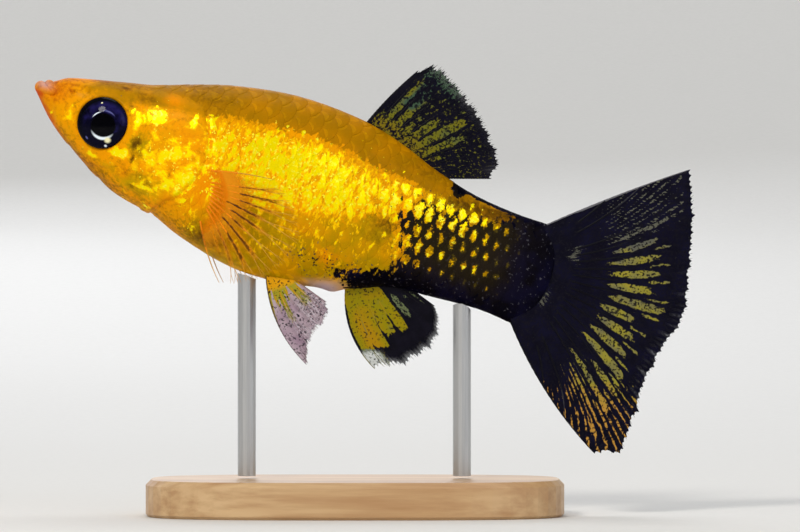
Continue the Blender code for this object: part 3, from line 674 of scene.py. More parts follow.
def netPlaces(seed):
    vary = random.Random(seed)
    columns, x = [], scales["anchor"]
    while x > scales["napeFront"] - 1:
        columns.insert(0, x)
        x -= float(pitchAt(x))
    x = scales["anchor"] + float(pitchAt(scales["anchor"]))
    while x < scales["lastColumn"]:
        columns.append(x)
        x += float(pitchAt(x))
    places = []
    lowest, highest = scales["shares"]
    for column in columns:
        for row in range(*scales["rows"]):
            x = column + (0.5 * float(pitchAt(column)) if row % 2 else 0)
            share = float(netShare(x, row))
            if not lowest < share < highest or x > scales["lastColumn"]:
                continue
            z = float(onBody(np.array(x), np.array(share), 1)[2])
            nape = z > 4.6 and x > scales["napeFront"] + 0.4 * (8 - z)
            if x - 0.75 * float(pitchAt(x)) > float(gillEdge(z)) or nape:
                along, across = (vary.uniform(-reach, reach) for reach in scales["jitter"])
                places.append((x + along, row + across, vary.random()))
    return np.array(places)


def newTree(name, inputs):
    # A Geometry Nodes tree with its named inputs, each of its kind
    tree = bpy.data.node_groups.new(name, "GeometryNodeTree")
    for label, kind in inputs.items():
        tree.interface.new_socket(label, in_out="INPUT", socket_type="NodeSocket" + kind)
    tree.interface.new_socket("Made", in_out="OUTPUT", socket_type="NodeSocketGeometry")
    return tree, add(tree, "NodeGroupInput").outputs


def endTree(tree, geometry, finish):
    solid = add(tree, "GeometryNodeRealizeInstances", {0: geometry})
    coated = add(tree, "GeometryNodeSetMaterial", {"Geometry": solid, "Material": finish})
    add(tree, "NodeGroupOutput", {0: coated})
    return tree


def scaleNetTree():
    tree, given = newTree("scaleNet", {
        "Places": "Geometry", "Segments": "Int", "Rings": "Int", "Flare": "Float", "Thickness": "Float",
        "Roll": "Float", "Seed": "Int", "Finish": "Material"})
    lens = add(tree, "GeometryNodeMeshUVSphere", {0: given["Segments"], 1: given["Rings"]})
    spot = add(tree, "GeometryNodeInputPosition")
    high = add(tree, "ShaderNodeSeparateXYZ", {0: spot}).outputs[2]
    square = add(tree, "ShaderNodeMath", {0: high, 1: high}, operation="MULTIPLY")
    wider = add(tree, "ShaderNodeMath", {0: square, 1: given["Flare"], 2: 1.0}, operation="MULTIPLY_ADD")
    broad = add(tree, "ShaderNodeCombineXYZ", {0: wider, 1: wider, 2: 1.0})
    moved = add(tree, "ShaderNodeVectorMath", {0: spot, 1: broad}, operation="MULTIPLY")
    plate = add(tree, "GeometryNodeSetPosition", {"Geometry": lens, "Position": moved})
    marked = add(tree, "GeometryNodeStoreNamedAttribute", {
        "Geometry": plate, "Name": "scaleAt", "Value": spot}, data_type="FLOAT_VECTOR")
    reach = add(tree, "GeometryNodeInputNamedAttribute", {"Name": "reach"}, data_type="FLOAT_VECTOR")
    turned = add(tree, "FunctionNodeRandomValue", {0: (0, 0, -1), 1: (0, 0, 1), "Seed": given["Seed"]},
                 data_type="FLOAT_VECTOR")
    roll = add(tree, "ShaderNodeVectorMath", {0: turned, "Scale": given["Roll"]}, operation="SCALE")
    flat = add(tree, "ShaderNodeCombineXYZ", {0: 1.0, 1: 1.0, 2: given["Thickness"]})
    size = add(tree, "ShaderNodeVectorMath", {0: reach, 1: flat}, operation="MULTIPLY")
    laid = add(tree, "GeometryNodeInstanceOnPoints", {
        "Points": given["Places"], "Instance": marked, "Rotation": roll, "Scale": size})
    return endTree(tree, laid, given["Finish"])


def throughTree(mesh, tree, inputs):
    # Runs a mesh through a Geometry Nodes tree and returns the plain mesh that comes out
    holder = newObject(tree.name, mesh)
    work = holder.modifiers.new(tree.name, "NODES")
    work.node_group = tree
    for item in tree.interface.items_tree:
        if item.name in inputs:
            work[item.identifier] = inputs[item.name]
    bpy.context.view_layer.update()
    graph = bpy.context.evaluated_depsgraph_get()
    made = bpy.data.meshes.new_from_object(holder.evaluated_get(graph))
    bpy.data.objects.remove(holder)
    return made


def vectorsOf(mesh, name):
    values = np.empty(len(mesh.vertices) * 3, np.float32)
    mesh.attributes[name].data.foreach_get("vector", values)
    return values.reshape(-1, 3).astype(float)


def makeScales(sideName, tree, finish):
    side = sides[sideName]
    places = netPlaces(scales["seeds"][sideName])
    net = bpy.data.meshes.new("scalePlaces")
    net.from_pydata([(x, row, 0) for x, row, _ in places], [], [])
    whole = np.ones(len(places))
    reach = [scales["halfLength"] * pitchAt(places[:, 0]), scales["halfHeight"] * whole, 0.5 * whole]
    setField(net, "reach", np.column_stack(reach))
    setField(net, "root", places)
    made = throughTree(net, tree, {
        "Segments": scales["segments"], "Rings": scales["rings"], "Flare": scales["flare"],
        "Thickness": scales["thickness"], "Roll": scales["roll"], "Seed": scales["rollSeed"] + side,
        "Finish": finish})
    local, root = vectorsOf(made, "scaleAt"), vectorsOf(made, "root")
    flat = np.array([v.co for v in made.vertices])
    x = flat[:, 0] - scales["rootShift"] * pitchAt(root[:, 0])
    share = np.clip(netShare(x, flat[:, 1]), 0.0, 1.0)
    tilt = (local[:, 0] + 1) / 2
    lift = scales["frontSink"] + (scales["rearLift"] - scales["frontSink"]) * tilt
    out = flat[:, 2] + lift * (0.85 + 0.3 * root[:, 2]) - body["coatDepth"]
    points = onBody(np.minimum(x, body["stalkEnd"] - 0.1), share, side, out)
    points[:, 0] += np.maximum(x - body["stalkEnd"] + 0.1, 0)
    made.vertices.foreach_set("co", toStand(points).astype(np.float32).ravel())
    for label, values in (*paint(points).items(), ("tone", root[:, 2])):
        setField(made, label, values)
    turnOutwards(made)
    sheet = scales["map"]
    across = root[:, 0] / sheet["length"] + local[:, 0] * sheet["patch"] / 2
    down = sheet["middles"][sideName] + (netShare(root[:, 0], root[:, 1]) - 0.5) * sheet["height"]
    down = down + local[:, 1] * sheet["patch"] / 2
    bakeMap = made.uv_layers.new(name="OFBake")
    corners = np.empty(len(made.loops), np.int32)
    made.loops.foreach_get("vertex_index", corners)
    bakeMap.data.foreach_set("uv", np.column_stack([across, down])[corners].astype(np.float32).ravel())
    made.shade_smooth()
    print("scales on the", sideName.lower(), "side:", len(places))
    return place(newObject("scales" + sideName, made), finish)


# Eyes

def makeEye(sideName, finish):
    around, rings = eye["around"], eye["rings"]
    centre, outwards, tailwards = eyeFrame(sides[sideName])
    up = np.array([0.0, 0.0, 1.0])
    turn = np.linspace(0, 2 * math.pi, around, endpoint=False)
    points, spots = [], []
    for r in range(1, rings):
        angle = math.pi * r / rings
        height = math.cos(angle) * (eye["dome"] if angle < math.pi / 2 else eye["depth"])
        radius = math.sin(angle) * eye["radius"]
        a, b = np.cos(turn) * radius, np.sin(turn) * radius
        points.append(centre + outwards * height + a[:, None] * tailwards + b[:, None] * up)
        spots.append(np.column_stack([a, b, np.full(around, height)]))
    points += [[centre + outwards * eye["dome"]], [centre - outwards * eye["depth"]]]
    spots += [[(0, 0, eye["dome"])], [(0, 0, -eye["depth"])]]
    faces = loopFaces(rings - 1, around)
    piece = newMesh("eye" + sideName, np.concatenate(points), faces, {"eyeAt": np.concatenate(spots)})
    return place(piece, finish, ["eye_" + sideName.lower()])


# Fins: a thin web with the markings, and branching rays that stand out of it

fins = {
    "dorsal": {
        "node": "dorsal_fin",
        "slot": "olive_fin",
        "root": [(35.1, 8.2), (40.2, 7.2), (44.4, 5.9)],
        "tips": [
            (38.7, 16.4), (40.5, 17.8), (42.7, 16.9), (45.2, 15.5), (47.3, 13.8), (49.2, 12.0), (50.6, 9.8),
            (50.5, 8.0),
        ],
        "bow": (0.25, 0.0),
        "rays": 11,
        "windows": [
            (0.08, 0.34, 0.3, 0.5), (0.08, 0.78, 0.27, 0.95), (0.08, 0.64, 0.3, 0.85),
            (0.08, 0.5, 0.32, 0.6), (0.08, 0.6, 0.38, 0.75), (0.08, 0.84, 0.38, 0.9),
            (0.08, 0.68, 0.3, 0.9), (0.08, 0.4, 0.26, 0.6), (0.08, 0.22, 0.2, 0.4),
            (0.58, 0.86, 0.12, 0.45),
        ],
        "branches": (0.5, 0.78),
        "rayRadius": (0.15, 0.05),
        "ragged": 0.085,
        "rootHalf": 0.5,
        "wave": 0.35,
        "seed": 3,
    },
    "tail": {
        "node": "tail_fin",
        "slot": "black_fin",
        "root": [(57.2, 4.6), (58.2, -0.5), (57.2, -5.5)],
        "tips": [
            (70.8, 16.6), (72.4, 13.6), (73.9, 9.3), (75.2, 4.6), (75.6, 0.6), (74.9, -3.2), (74.3, -8.0),
            (74.3, -12.4), (74.1, -15.4), (71.6, -16.8),
        ],
        "bow": (0.25, 0.9),
        "rays": 15,
        "fan": (6.6, 0.83),
        "shortRays": (-7, -5, -3, -1.5, 15.4, 17, 19, 21),
        "windows": [
            (0.6, 0.8, 0.05, 0.3), (0.46, 0.85, 0.17, 0.72), (0.47, 0.77, 0.23, 0.9),
            (0.46, 0.77, 0.26, 1.0), (0.47, 0.79, 0.27, 1.0), (0.48, 0.75, 0.3, 1.05),
            (0.49, 0.87, 0.3, 0.85), (0.48, 0.72, 0.32, 1.05), (0.5, 0.78, 0.29, 0.95),
            (0.49, 0.78, 0.3, 1.0), (0.47, 0.86, 0.28, 0.9), (0.6, 0.84, 0.24, 1.0),
            (0.45, 0.84, 0.17, 0.95), (0.46, 0.82, 0.12, 0.9),
        ],
        "branches": (0.42, 0.7),
        "rayRadius": (0.17, 0.05),
        "ragged": 0.035,
        "rootHalf": 0.62,
        "wave": 0.5,
        "seed": 5,
    },
    "anal": {
        "node": "anal_fin",
        "slot": "olive_fin",
        "root": [(39.2, -8.0), (42.0, -7.0), (44.6, -6.1)],
        "tips": [
            (45.5, -16.2), (47.5, -15.2), (49.2, -13.8), (50.4, -12.0), (50.8, -10.2), (50.4, -8.6),
            (49.3, -7.4),
        ],
        "bow": (1.3, 0.0),
        "rays": 8,
        "windows": [
            (0.06, 0.8, 0.6, 1.0), (0.06, 0.76, 0.6, 1.0), (0.06, 0.63, 0.5, 1.0), (0.06, 0.66, 0.4, 1.0),
            (0.2, 0.58, 0.32, 0.5), (0.25, 0.4, 0.25, 0.32), (0.3, 0.66, 0.2, 0.4),
        ],
        "branches": (0.5, 0.75),
        "rayRadius": (0.14, 0.045),
        "ragged": 0.09,
        "rootHalf": 0.5,
        "wave": 0.2,
        "seed": 8,
    },
    "pectoral": {
        "node": "pectoral_fin",
        "slot": "orange_fin",
        "root": [(20.7, -2.0), (21.8, -4.6), (21.9, -7.2)],
        "tips": [
            (28.2, -0.4), (30.8, -1.9), (32.6, -4.0), (33.1, -6.3), (32.3, -8.8), (30.6, -10.9),
            (28.6, -12.3), (26.4, -13.1),
        ],
        "bow": (0.2, 0.3),
        "rays": 11,
        "fan": (4.2, 1.67),
        "streaks": [
            (0.4, 0.6, 0.0), (0.34, 0.95, 0.65), (0.34, 0.88, 0.85), (0.3, 0.74, 0.7), (0.2, 0.6, 1.0),
            (0.26, 0.64, 0.95), (0.3, 0.52, 0.8), (0.2, 0.76, 1.0), (0.36, 0.8, 0.95), (0.24, 0.74, 0.7),
            (0.14, 0.5, 0.6),
        ],
        "branches": (0.6, 0.82),
        "rayRadius": (0.125, 0.028),
        "ragged": 0.05,
        "rootHalf": 0.34,
        "splayDeg": 19.0,
        "sunkInFlank": 0.3,
        "seed": 13,
    },
    "pelvic": {
        "node": "pelvic_fin",
        "slot": "olive_fin",
        "root": [(30.6, -10.2), (33.0, -9.8)],
        "tips": [(38.3, -18.2), (37.8, -16.4), (37.9, -14.8), (38.4, -13.4), (38.6, -12.1), (38.0, -11.1)],
        "bow": (1.1, 0.0),
        "rays": 7,
        "branches": (0.45, 0.7),
        "rayRadius": (0.13, 0.035),
        "ragged": 0.1,
        "rootHalf": 0.45,
        "splayDeg": 13.0,
        "fromMidline": 1.5,
        "seed": 21,
    },
}
web = {
    "columnsPerRay": 12,
    "rows": 56,
    "half": 0.06,
    "tipHalf": 0.035,
    "firstSpread": 0.23,  # in ray spacings
    "secondSpread": 0.11,
    "raySides": 6,
}


def finPlace(fin, side):
    # The fin's middle surface as a function of the place across, the place along and the reach
    root, tips = pathOf(fin["root"]), pathOf(fin["tips"])
    sweep = tips(1.0) - tips(0.0)
    firstBow, lastBow = fin["bow"]
    spread = math.tan(math.radians(fin.get("splayDeg", 0)))
    inner = fin.get("fromMidline", 0)
    if "sunkInFlank" in fin:
        starts = np.linspace(0, 1, 21)
        inner = np.array([flankAt(*root(s)) for s in starts]) - fin["sunkInFlank"]

    def at(u, v, reach):
        start = root(u)
        ray = tips(u) - start
        bend = unit(np.stack([ray[..., 1], -ray[..., 0]], -1))
        bend = bend * np.sign(bend @ sweep)[..., None]
        bow = (lastBow * u**2 - firstBow * (1 - u) ** 2) * 4 * v * (1 - v)
        flat = start + ray * (v * (1 - (1 - reach) * v**3))[..., None] + bend * bow[..., None]
        if "wave" in fin:
            y = fin["wave"] * v * v * np.sin(math.pi * (2.5 * u + v))
        else:
            base = np.interp(u, starts, inner) if "sunkInFlank" in fin else inner
            y = side * (base + np.linalg.norm(flat - start, axis=-1) * spread)
        return np.stack([flat[..., 0], y, flat[..., 1]], -1)

    return at


def finVariety(fin):
    vary = random.Random(fin["seed"])
    return {
        "reach": np.array([1 - vary.uniform(0, 0.03) for _ in range(fin["rays"])]),
        "notch": np.array([vary.uniform(-1, 1) for _ in range(fin["rays"] * 4)]),
    }


def rayAcross(fin, column, v):
    # Which ray runs through a column of the web: the rays fan out from a root narrower than the web's
    if "fan" not in fin:
        return column + 0 * v
    middle, narrow = fin["fan"]
    return middle + (column - middle) * (1 + narrow) / (v + narrow)


def columnOfRay(fin, ray, v):
    if "fan" not in fin:
        return ray + 0 * v
    middle, narrow = fin["fan"]
    return np.clip(middle + (ray - middle) * (v + narrow) / (1 + narrow), 0, fin["rays"] - 1)


def branchGap(fin, ray, v):
    # Distance to the nearest ray or branch, in ray spacings
    nearest = np.round(ray)
    offset = np.abs(ray - nearest)
    inner = (nearest > 0) & (nearest < fin["rays"] - 1)
    first = web["firstSpread"] * fade(fin["branches"][0], fin["branches"][0] + 0.3, v) * inner
    second = web["secondSpread"] * fade(fin["branches"][1], fin["branches"][1] + 0.2, v) * inner
    return np.abs(np.abs(offset - first) - second)


def makeWeb(name, fin, side, finish, tone, replaced):
    at, variety = finPlace(fin, side), finVariety(fin)
    columns = (fin["rays"] - 1) * web["columnsPerRay"] + 1
    column = np.linspace(0, fin["rays"] - 1, columns)
    rays = np.arange(fin["rays"])
    along = np.interp(column, rays, variety["reach"])
    between = np.abs(column - np.round(column)) * 2
    quarter = np.abs(column * 4 - np.round(column * 4)) * 2
    notches = np.interp(column * 4, np.arange(len(variety["notch"])), variety["notch"])
    reach = along - fin["ragged"] * (0.4 * between**0.8 + 0.5 * quarter + 0.25 * notches)
    u = (column / (fin["rays"] - 1))[:, None]
    v = np.linspace(0, 1, web["rows"] + 1)[None, :]
    u, v = np.broadcast_arrays(u, v)
    middle = at(u, v, reach[:, None])
    across, down = np.gradient(middle, axis=0), np.gradient(middle, axis=1)
    normal = unit(np.cross(across, down))
    half = web["half"] + (web["tipHalf"] - web["half"]) * fade(0.7, 1, v)
    foot = (1 - fade(0.02, 0.3, v)) * (0.5 + 0.5 * fade(-0.02, 0.08, v))
    half = half + (fin["rootHalf"] - web["half"]) * foot
    front, rear = middle + normal * half[..., None], middle - normal * half[..., None]
    rows = web["rows"] + 1
    points = np.concatenate([front.reshape(-1, 3), rear.reshape(-1, 3)])
    other = columns * rows
    faces = []
    for c in range(columns - 1):
        a = c * rows + np.arange(rows - 1)
        faces.extend(np.column_stack([a, a + rows, a + rows + 1, a + 1]).tolist())
        faces.extend((np.column_stack([a + 1, a + rows + 1, a + rows, a]) + other).tolist())
    last = (columns - 1) * rows
    rim = [c * rows for c in range(columns)] + [last + r for r in range(1, rows)]
    rim += [c * rows + rows - 1 for c in range(columns - 2, -1, -1)] + list(range(rows - 2, 0, -1))
    for a, b in zip(rim, rim[1:] + rim[:1]):
        faces.append((a, other + a, other + b, b))
    ray = rayAcross(fin, column[:, None], v)
    gap = branchGap(fin, ray, v)
    toned = tone(fin, u, v, ray, gap)
    finAt = np.stack([ray, v, gap], -1).reshape(-1, 3)
    fields = {"finAt": np.tile(finAt, (2, 1)), "finTone": np.tile(toned.reshape(-1, 3), (2, 1))}
    piece = newMesh(name, points, faces, fields)
    return place(piece, finish, replaced)


def rayLines(fin):
    # Each ray as a stem, two branches and four twigs, by ray, column, place along and thickness
    lines = []
    one, two = fin["branches"]
    thick, thin = fin["rayRadius"]
    last = fin["rays"] - 1
    for ray in (*range(fin["rays"]), *fin.get("shortRays", ())):
        inner = 0 < ray < last
        pieces = [(0.0, 1.0, 0, 0)]
        if inner:
            pieces = [(0.0, one + 0.04, 0, 0)]
            pieces += [(one, two + 0.03, way, 0) for way in (-1, 1)]
            pieces += [(two, 1.0, way, twig) for way in (-1, 1) for twig in (-1, 1)]
        elif ray < 0 or ray > last:  # a short ray ends at the fin's edge
            middle, narrow = fin["fan"]
            edge = 0 if ray < 0 else last
            pieces = [(0.0, (edge - middle) / (ray - middle) * (1 + narrow) - narrow, 0, 0)]
        for low, high, way, twig in pieces:
            v = np.linspace(low, high, max(6, int((high - low) * 42)))
            offset = way * web["firstSpread"] * fade(one, one + 0.3, v)
            offset = offset + twig * web["secondSpread"] * fade(two, two + 0.2, v)
            joint = 1 + 0.1 * np.cos(np.arange(len(v)) * math.pi)
            size = (thick + (thin - thick) * v) * (1 - 0.22 * (way != 0) - 0.2 * (twig != 0)) * joint
            size = size * (1 - 0.8 * fade(0.97, 1.0, v))
            column = columnOfRay(fin, ray + offset, v) if ray not in (0, last) else ray + 0 * v
            lines.append((ray + offset, column, v, size))
    return lines


def rayTubeTree():
    tree, given = newTree("rayTubes", {
        "Lines": "Geometry", "Sides": "Int", "Unit": "Float", "Finish": "Material"})
    curve = add(tree, "GeometryNodeMeshToCurve", {"Mesh": given["Lines"]})
    size = add(tree, "GeometryNodeInputNamedAttribute", {"Name": "thickness"}, data_type="FLOAT")
    ring = add(tree, "GeometryNodeCurvePrimitiveCircle", {
        "Resolution": given["Sides"], "Radius": given["Unit"]})
    tube = add(tree, "GeometryNodeCurveToMesh", {
        "Curve": curve, "Profile Curve": ring, "Scale": size, "Fill Caps": True})
    return endTree(tree, tube, given["Finish"])


def makeRays(name, fin, side, finish, tree, tone):
    at, variety = finPlace(fin, side), finVariety(fin)
    points, edges, thickness, spots = [], [], [], []
    for ray, column, v, size in rayLines(fin):
        reach = np.interp(column, np.arange(fin["rays"]), variety["reach"])
        start = len(points)
        points.extend(at(column / (fin["rays"] - 1), v, reach).tolist())
        edges.extend((start + k, start + k + 1) for k in range(len(v) - 1))
        thickness.extend(size.tolist())
        light = tone(fin, column / (fin["rays"] - 1), v, ray, 0 * v)[..., 0]
        spots.extend(np.column_stack([ray, v, 1 - np.clip(light, 0, 1)]).tolist())
    lines = bpy.data.meshes.new(name)
    lines.from_pydata(toStand(np.array(points)).tolist(), edges, [])
    setField(lines, "thickness", thickness)
    setField(lines, "rayAt", spots)
    made = throughTree(lines, tree, {"Sides": web["raySides"], "Unit": 0.001, "Finish": finish})
    made.shade_smooth()
    return place(newObject(name, made), finish)


def panelWindows(fin, v, ray, soft=0.06):
    # The light windows between the rays: the fin's table has their root end, outer end, half width, strength
    panel = np.clip(np.floor(ray).astype(int), 0, fin["rays"] - 2)
    start, stop, half, strength = np.moveaxis(np.array(fin["windows"])[panel], -1, 0)
    half = half * (0.55 + 0.45 * fade(start, start + 0.1, v)) * (1 - 0.3 * fade(stop - 0.15, stop, v))
    window = fade(start - soft, start + soft, v) * (1 - fade(stop - soft, stop + soft, v))
    return window * (1 - fade(half - 0.07, half + 0.07, np.abs(ray - panel - 0.5))) * strength


def tailTone(fin, u, v, ray, gap):
    # Yellow windows between black rays, thin threads over and below them, a black root and rear edge
    window = panelWindows(fin, v, ray)
    inBranch = 1 - fade(0.03, 0.1, np.abs(ray - np.round(ray)))
    inBranch = inBranch * fade(0.69, 0.76, v) * (1 - fade(0.82, 0.9, v)) * fade(1.5, 3, ray)
    window = np.maximum(window, inBranch * 0.9)
    thread = 1 - fade(0.06, 0.24, np.abs(ray * 2.6 - np.round(ray * 2.6)))
    upper = (1 - fade(1.4, 2.6, ray)) * fade(0.3, 0.5, v) * (1 - fade(0.93, 0.99, v))
    lower = 0.9 * fade(9, 11.5, ray) * fade(0.74, 0.84, v) + 0.9 * fade(11.6, 12.6, ray) * fade(0.36, 0.55, v)
    window = np.maximum(0.8 * window, 0.62 * thread * np.clip(upper + lower, 0, 1))
    root = 0.5 * hump(0.24, 0.05, v) * hump(1.8, 1.4, ray) + 0.45 * hump(0.13, 0.04, v) * hump(11.0, 2.2, ray)
    clear = 0.45 * fade(0.88, 0.98, v) * hump(0.6, 0.25, u) * fade(0.05, 0.15, gap)
    warm = 0.42 * fade(0.5, 3.5, ray) + 0.6 * fade(11.5, 16.5, ray + 9 * (v - 0.65)) - 0.2 * (v < 0.35)
    return np.stack([np.maximum(window, root), np.clip(warm, 0, 1), clear], -1)


def dorsalTone(fin, u, v, ray, gap):
    # Olive between black rays, most of it near the root, breaking up outwards and to the rear
    window = panelWindows(fin, v, ray, 0.12)
    low = 0.45 * (1 - fade(0.22, 0.36, v)) * fade(0.2, 0.6, ray) * (1 - fade(6.5, 8, ray))
    low = np.maximum(low, 0.24 * fade(0.5, 1.1, ray) * (1 - fade(0.86, 0.98, v)))
    clear = 0.3 * fade(0.84, 1.0, v) * fade(0.8, 1.6, ray) * (1 - 0.6 * fade(4, 7, ray))
    grey = fade(0.76, 0.92, v) * (1 - fade(3.5, 4.5, ray)) * fade(0.8, 1.4, ray)
    cool = np.maximum(grey, 0.8 * fade(0.4, 0.5, v) * hump(2.1, 0.5, ray))
    warm = 0.2 * (1 - fade(0.14, 0.34, v)) + 0.46 - 0.4 * cool
    return np.stack([np.maximum.reduce([0.74 * window, low, 0.5 * grey]), warm, clear], -1)


def analTone(fin, u, v, ray, gap):
    # Yellow front behind a dark first ray, pale tips there, a black rear half and outer edge
    window = panelWindows(fin, v, ray)
    solid = (1 - fade(0.38, 0.5, v)) * (1 - fade(3.2, 4.0, ray + v))
    window = np.maximum(window, 0.9 * solid) * fade(0.06, 0.2, ray + 0.25 * (1 - fade(0.15, 0.35, v)))
    tips = fade(0.74, 0.84, v) * (1 - fade(0.8, 1.5, ray))
    clear = np.maximum(0.75 * tips, 0.45 * fade(0.88, 1.0, v))
    warm = 0.5 - 0.44 * fade(3.8, 4.4, ray) + 0.25 * hump(1.0, 0.6, ray) * fade(0.2, 0.5, v) - 0.9 * tips
    return np.stack([np.maximum(window, tips), np.clip(warm, 0, 1), clear], -1)


def pectoralTone(fin, u, v, ray, gap):
    # A fleshy orange root, then a clear web with a brown streak along each ray
    nearest = np.clip(np.round(ray).astype(int), 0, fin["rays"] - 1)
    start, stop, strength = np.moveaxis(np.array(fin["streaks"])[nearest], -1, 0)
    brown = fade(start - 0.06, start + 0.06, v) * (1 - fade(stop - 0.12, stop + 0.08, v)) * strength
    brown = 0.74 * brown * (1 - fade(0.1, 0.28, np.abs(ray - nearest)))
    fleshy = 0.08 * (1 - fade(0.5, 3.5, ray))
    solid = fade(0.02, 0.26, v) * (1 - fade(0.2 + fleshy, 0.5 + fleshy, v)) * (0.8 - 0.3 * fade(3, 6, ray))
    clear = 0.99 * (1 - solid) * (1 - 0.8 * np.clip(brown, 0, 1))
    return np.stack([1 - np.clip(brown, 0, 1), fade(0.12, 0.3, v), clear], -1)


def pelvicTone(fin, u, v, ray, gap):
    # Yellow at the root, then olive streaks and a rosy white, half clear web with dark marks
    wavy = v + 0.16 * np.sin(ray * 2.4) * fade(0.1, 0.3, v) + 0.2 * fade(0.2, 0.4, gap)
    window = 1 - fade(0.28, 0.66, wavy)
    window = np.maximum(window, 0.8 * hump(4.2, 0.5, ray) * hump(0.52, 0.14, v))
    streak = hump(2.3 + 0.6 * v, 0.34, ray) * hump(0.66, 0.2, v) * (0.85 + 0.15 * np.sin(40 * v))
    streak = np.maximum(streak, 0.8 * (1 - fade(0.1, 0.3, ray)) * hump(0.72, 0.08, v))
    clear = (0.3 + 0.35 * fade(0.8, 2, ray)) * fade(0.25, 0.6, v) * (1 - streak)
    return np.stack([window, 1 - fade(0.04, 0.4, v) + 1.35 * streak, clear], -1)


# Finishes

def newFinish(name, fixed):
    finish = bpy.data.materials.new(name)
    finish.use_nodes = True
    tree = finish.node_tree
    shader = tree.nodes["Principled BSDF"]
    feed(tree, shader, fixed)
    return finish, tree, shader


def fishCoordinates(tree):
    # Object coordinates turned back into the fish's own frame, in millimetres
    turn = math.radians(pose["noseUpDeg"])
    ahead, height = pose["snoutAhead"], pose["snoutHeight"]
    ahead, height = (ahead * math.cos(turn) + height * math.sin(turn),
                     ahead * math.sin(turn) - height * math.cos(turn))
    return add(tree, "ShaderNodeMapping", {
        "Vector": add(tree, "ShaderNodeTexCoord").outputs["Object"],
        "Scale": (1000, 1000, 1000),
        "Rotation": (0, -turn, 0),
        "Location": (ahead, 0, height),
    })


def paintOver(tree, colour, layers):
    # Lays colours over one another, each where its mask is white
    for mask, cover in layers:
        colour = add(tree, "ShaderNodeMix", {0: mask, 6: colour, 7: cover}, data_type="RGBA").outputs[2]
    return colour


def brokenEdge(tree, field, noise, low, high, push):
    # A mask from a field whose soft edge is broken up by a noise
    moved = add(tree, "ShaderNodeMath", {0: noise, 1: push, 2: field}, operation="MULTIPLY_ADD")
    return add(tree, "ShaderNodeMapRange", {
        "Value": moved, "From Min": low + push / 2, "From Max": high + push / 2},
        interpolation_type="SMOOTHSTEP")


skinColours = {
    "flank": "#E89C00",
    "flankWarm": "#F29C00",
    "flankBright": "#FFC200",
    "dull": "#B87C00",
    "back": "#AE7A00",
    "backWarm": "#C48400",
    "scaleEdge": "#8A5800",
    "belly": "#C09A00",
    "bellyWarm": "#E8A600",
    "orange": "#EE9000",
    "umber": "#5E3E04",
    "rosy": "#CC4E08",
    "gleam": "#FFE600",
    "gleamPeak": "#FFF338",
    "pale": "#BCAAB8",
    "black": "#03020C",
    "blackBlue": "#080720",
    "glint": "#4C4A52",
    "halo": "#5E5010",
    "zone": "#2A220E",
}
skinNoises = {  # by scale per millimetre, so 1.9 gives grains of about half a millimetre
    "cloud": {"Scale": 0.4, "Detail": 4.0},
    "grain": {"Scale": 1.9, "Detail": 4.0, "Roughness": 0.65},
    "streak": {"Scale": 0.85, "Detail": 5.0, "Roughness": 0.6},
    "fine": {"Scale": 3.0, "Detail": 2.0},
}
skinEdges = {  # the noise that breaks a mask's edge, where the mask starts and is full, the noise's push
    "back": ("streak", 0.4, 0.6, 1.7),
    "belly": ("grain", 0.25, 0.75, 1.1),
    "black": ("streak", 0.42, 0.54, 1.5),
    "orange": ("grain", 0.0, 0.95, 0.8),
    "umber": ("grain", 0.1, 1.0, 1.3),
    "rosy": ("grain", 0.1, 0.9, 0.4),
    "bright": ("streak", 0.3, 0.5, 2.0),
    "gleam": ("streak", 0.5, 0.62, 2.2),
    "peak": ("fine", 0.8, 0.95, 2.8),
}


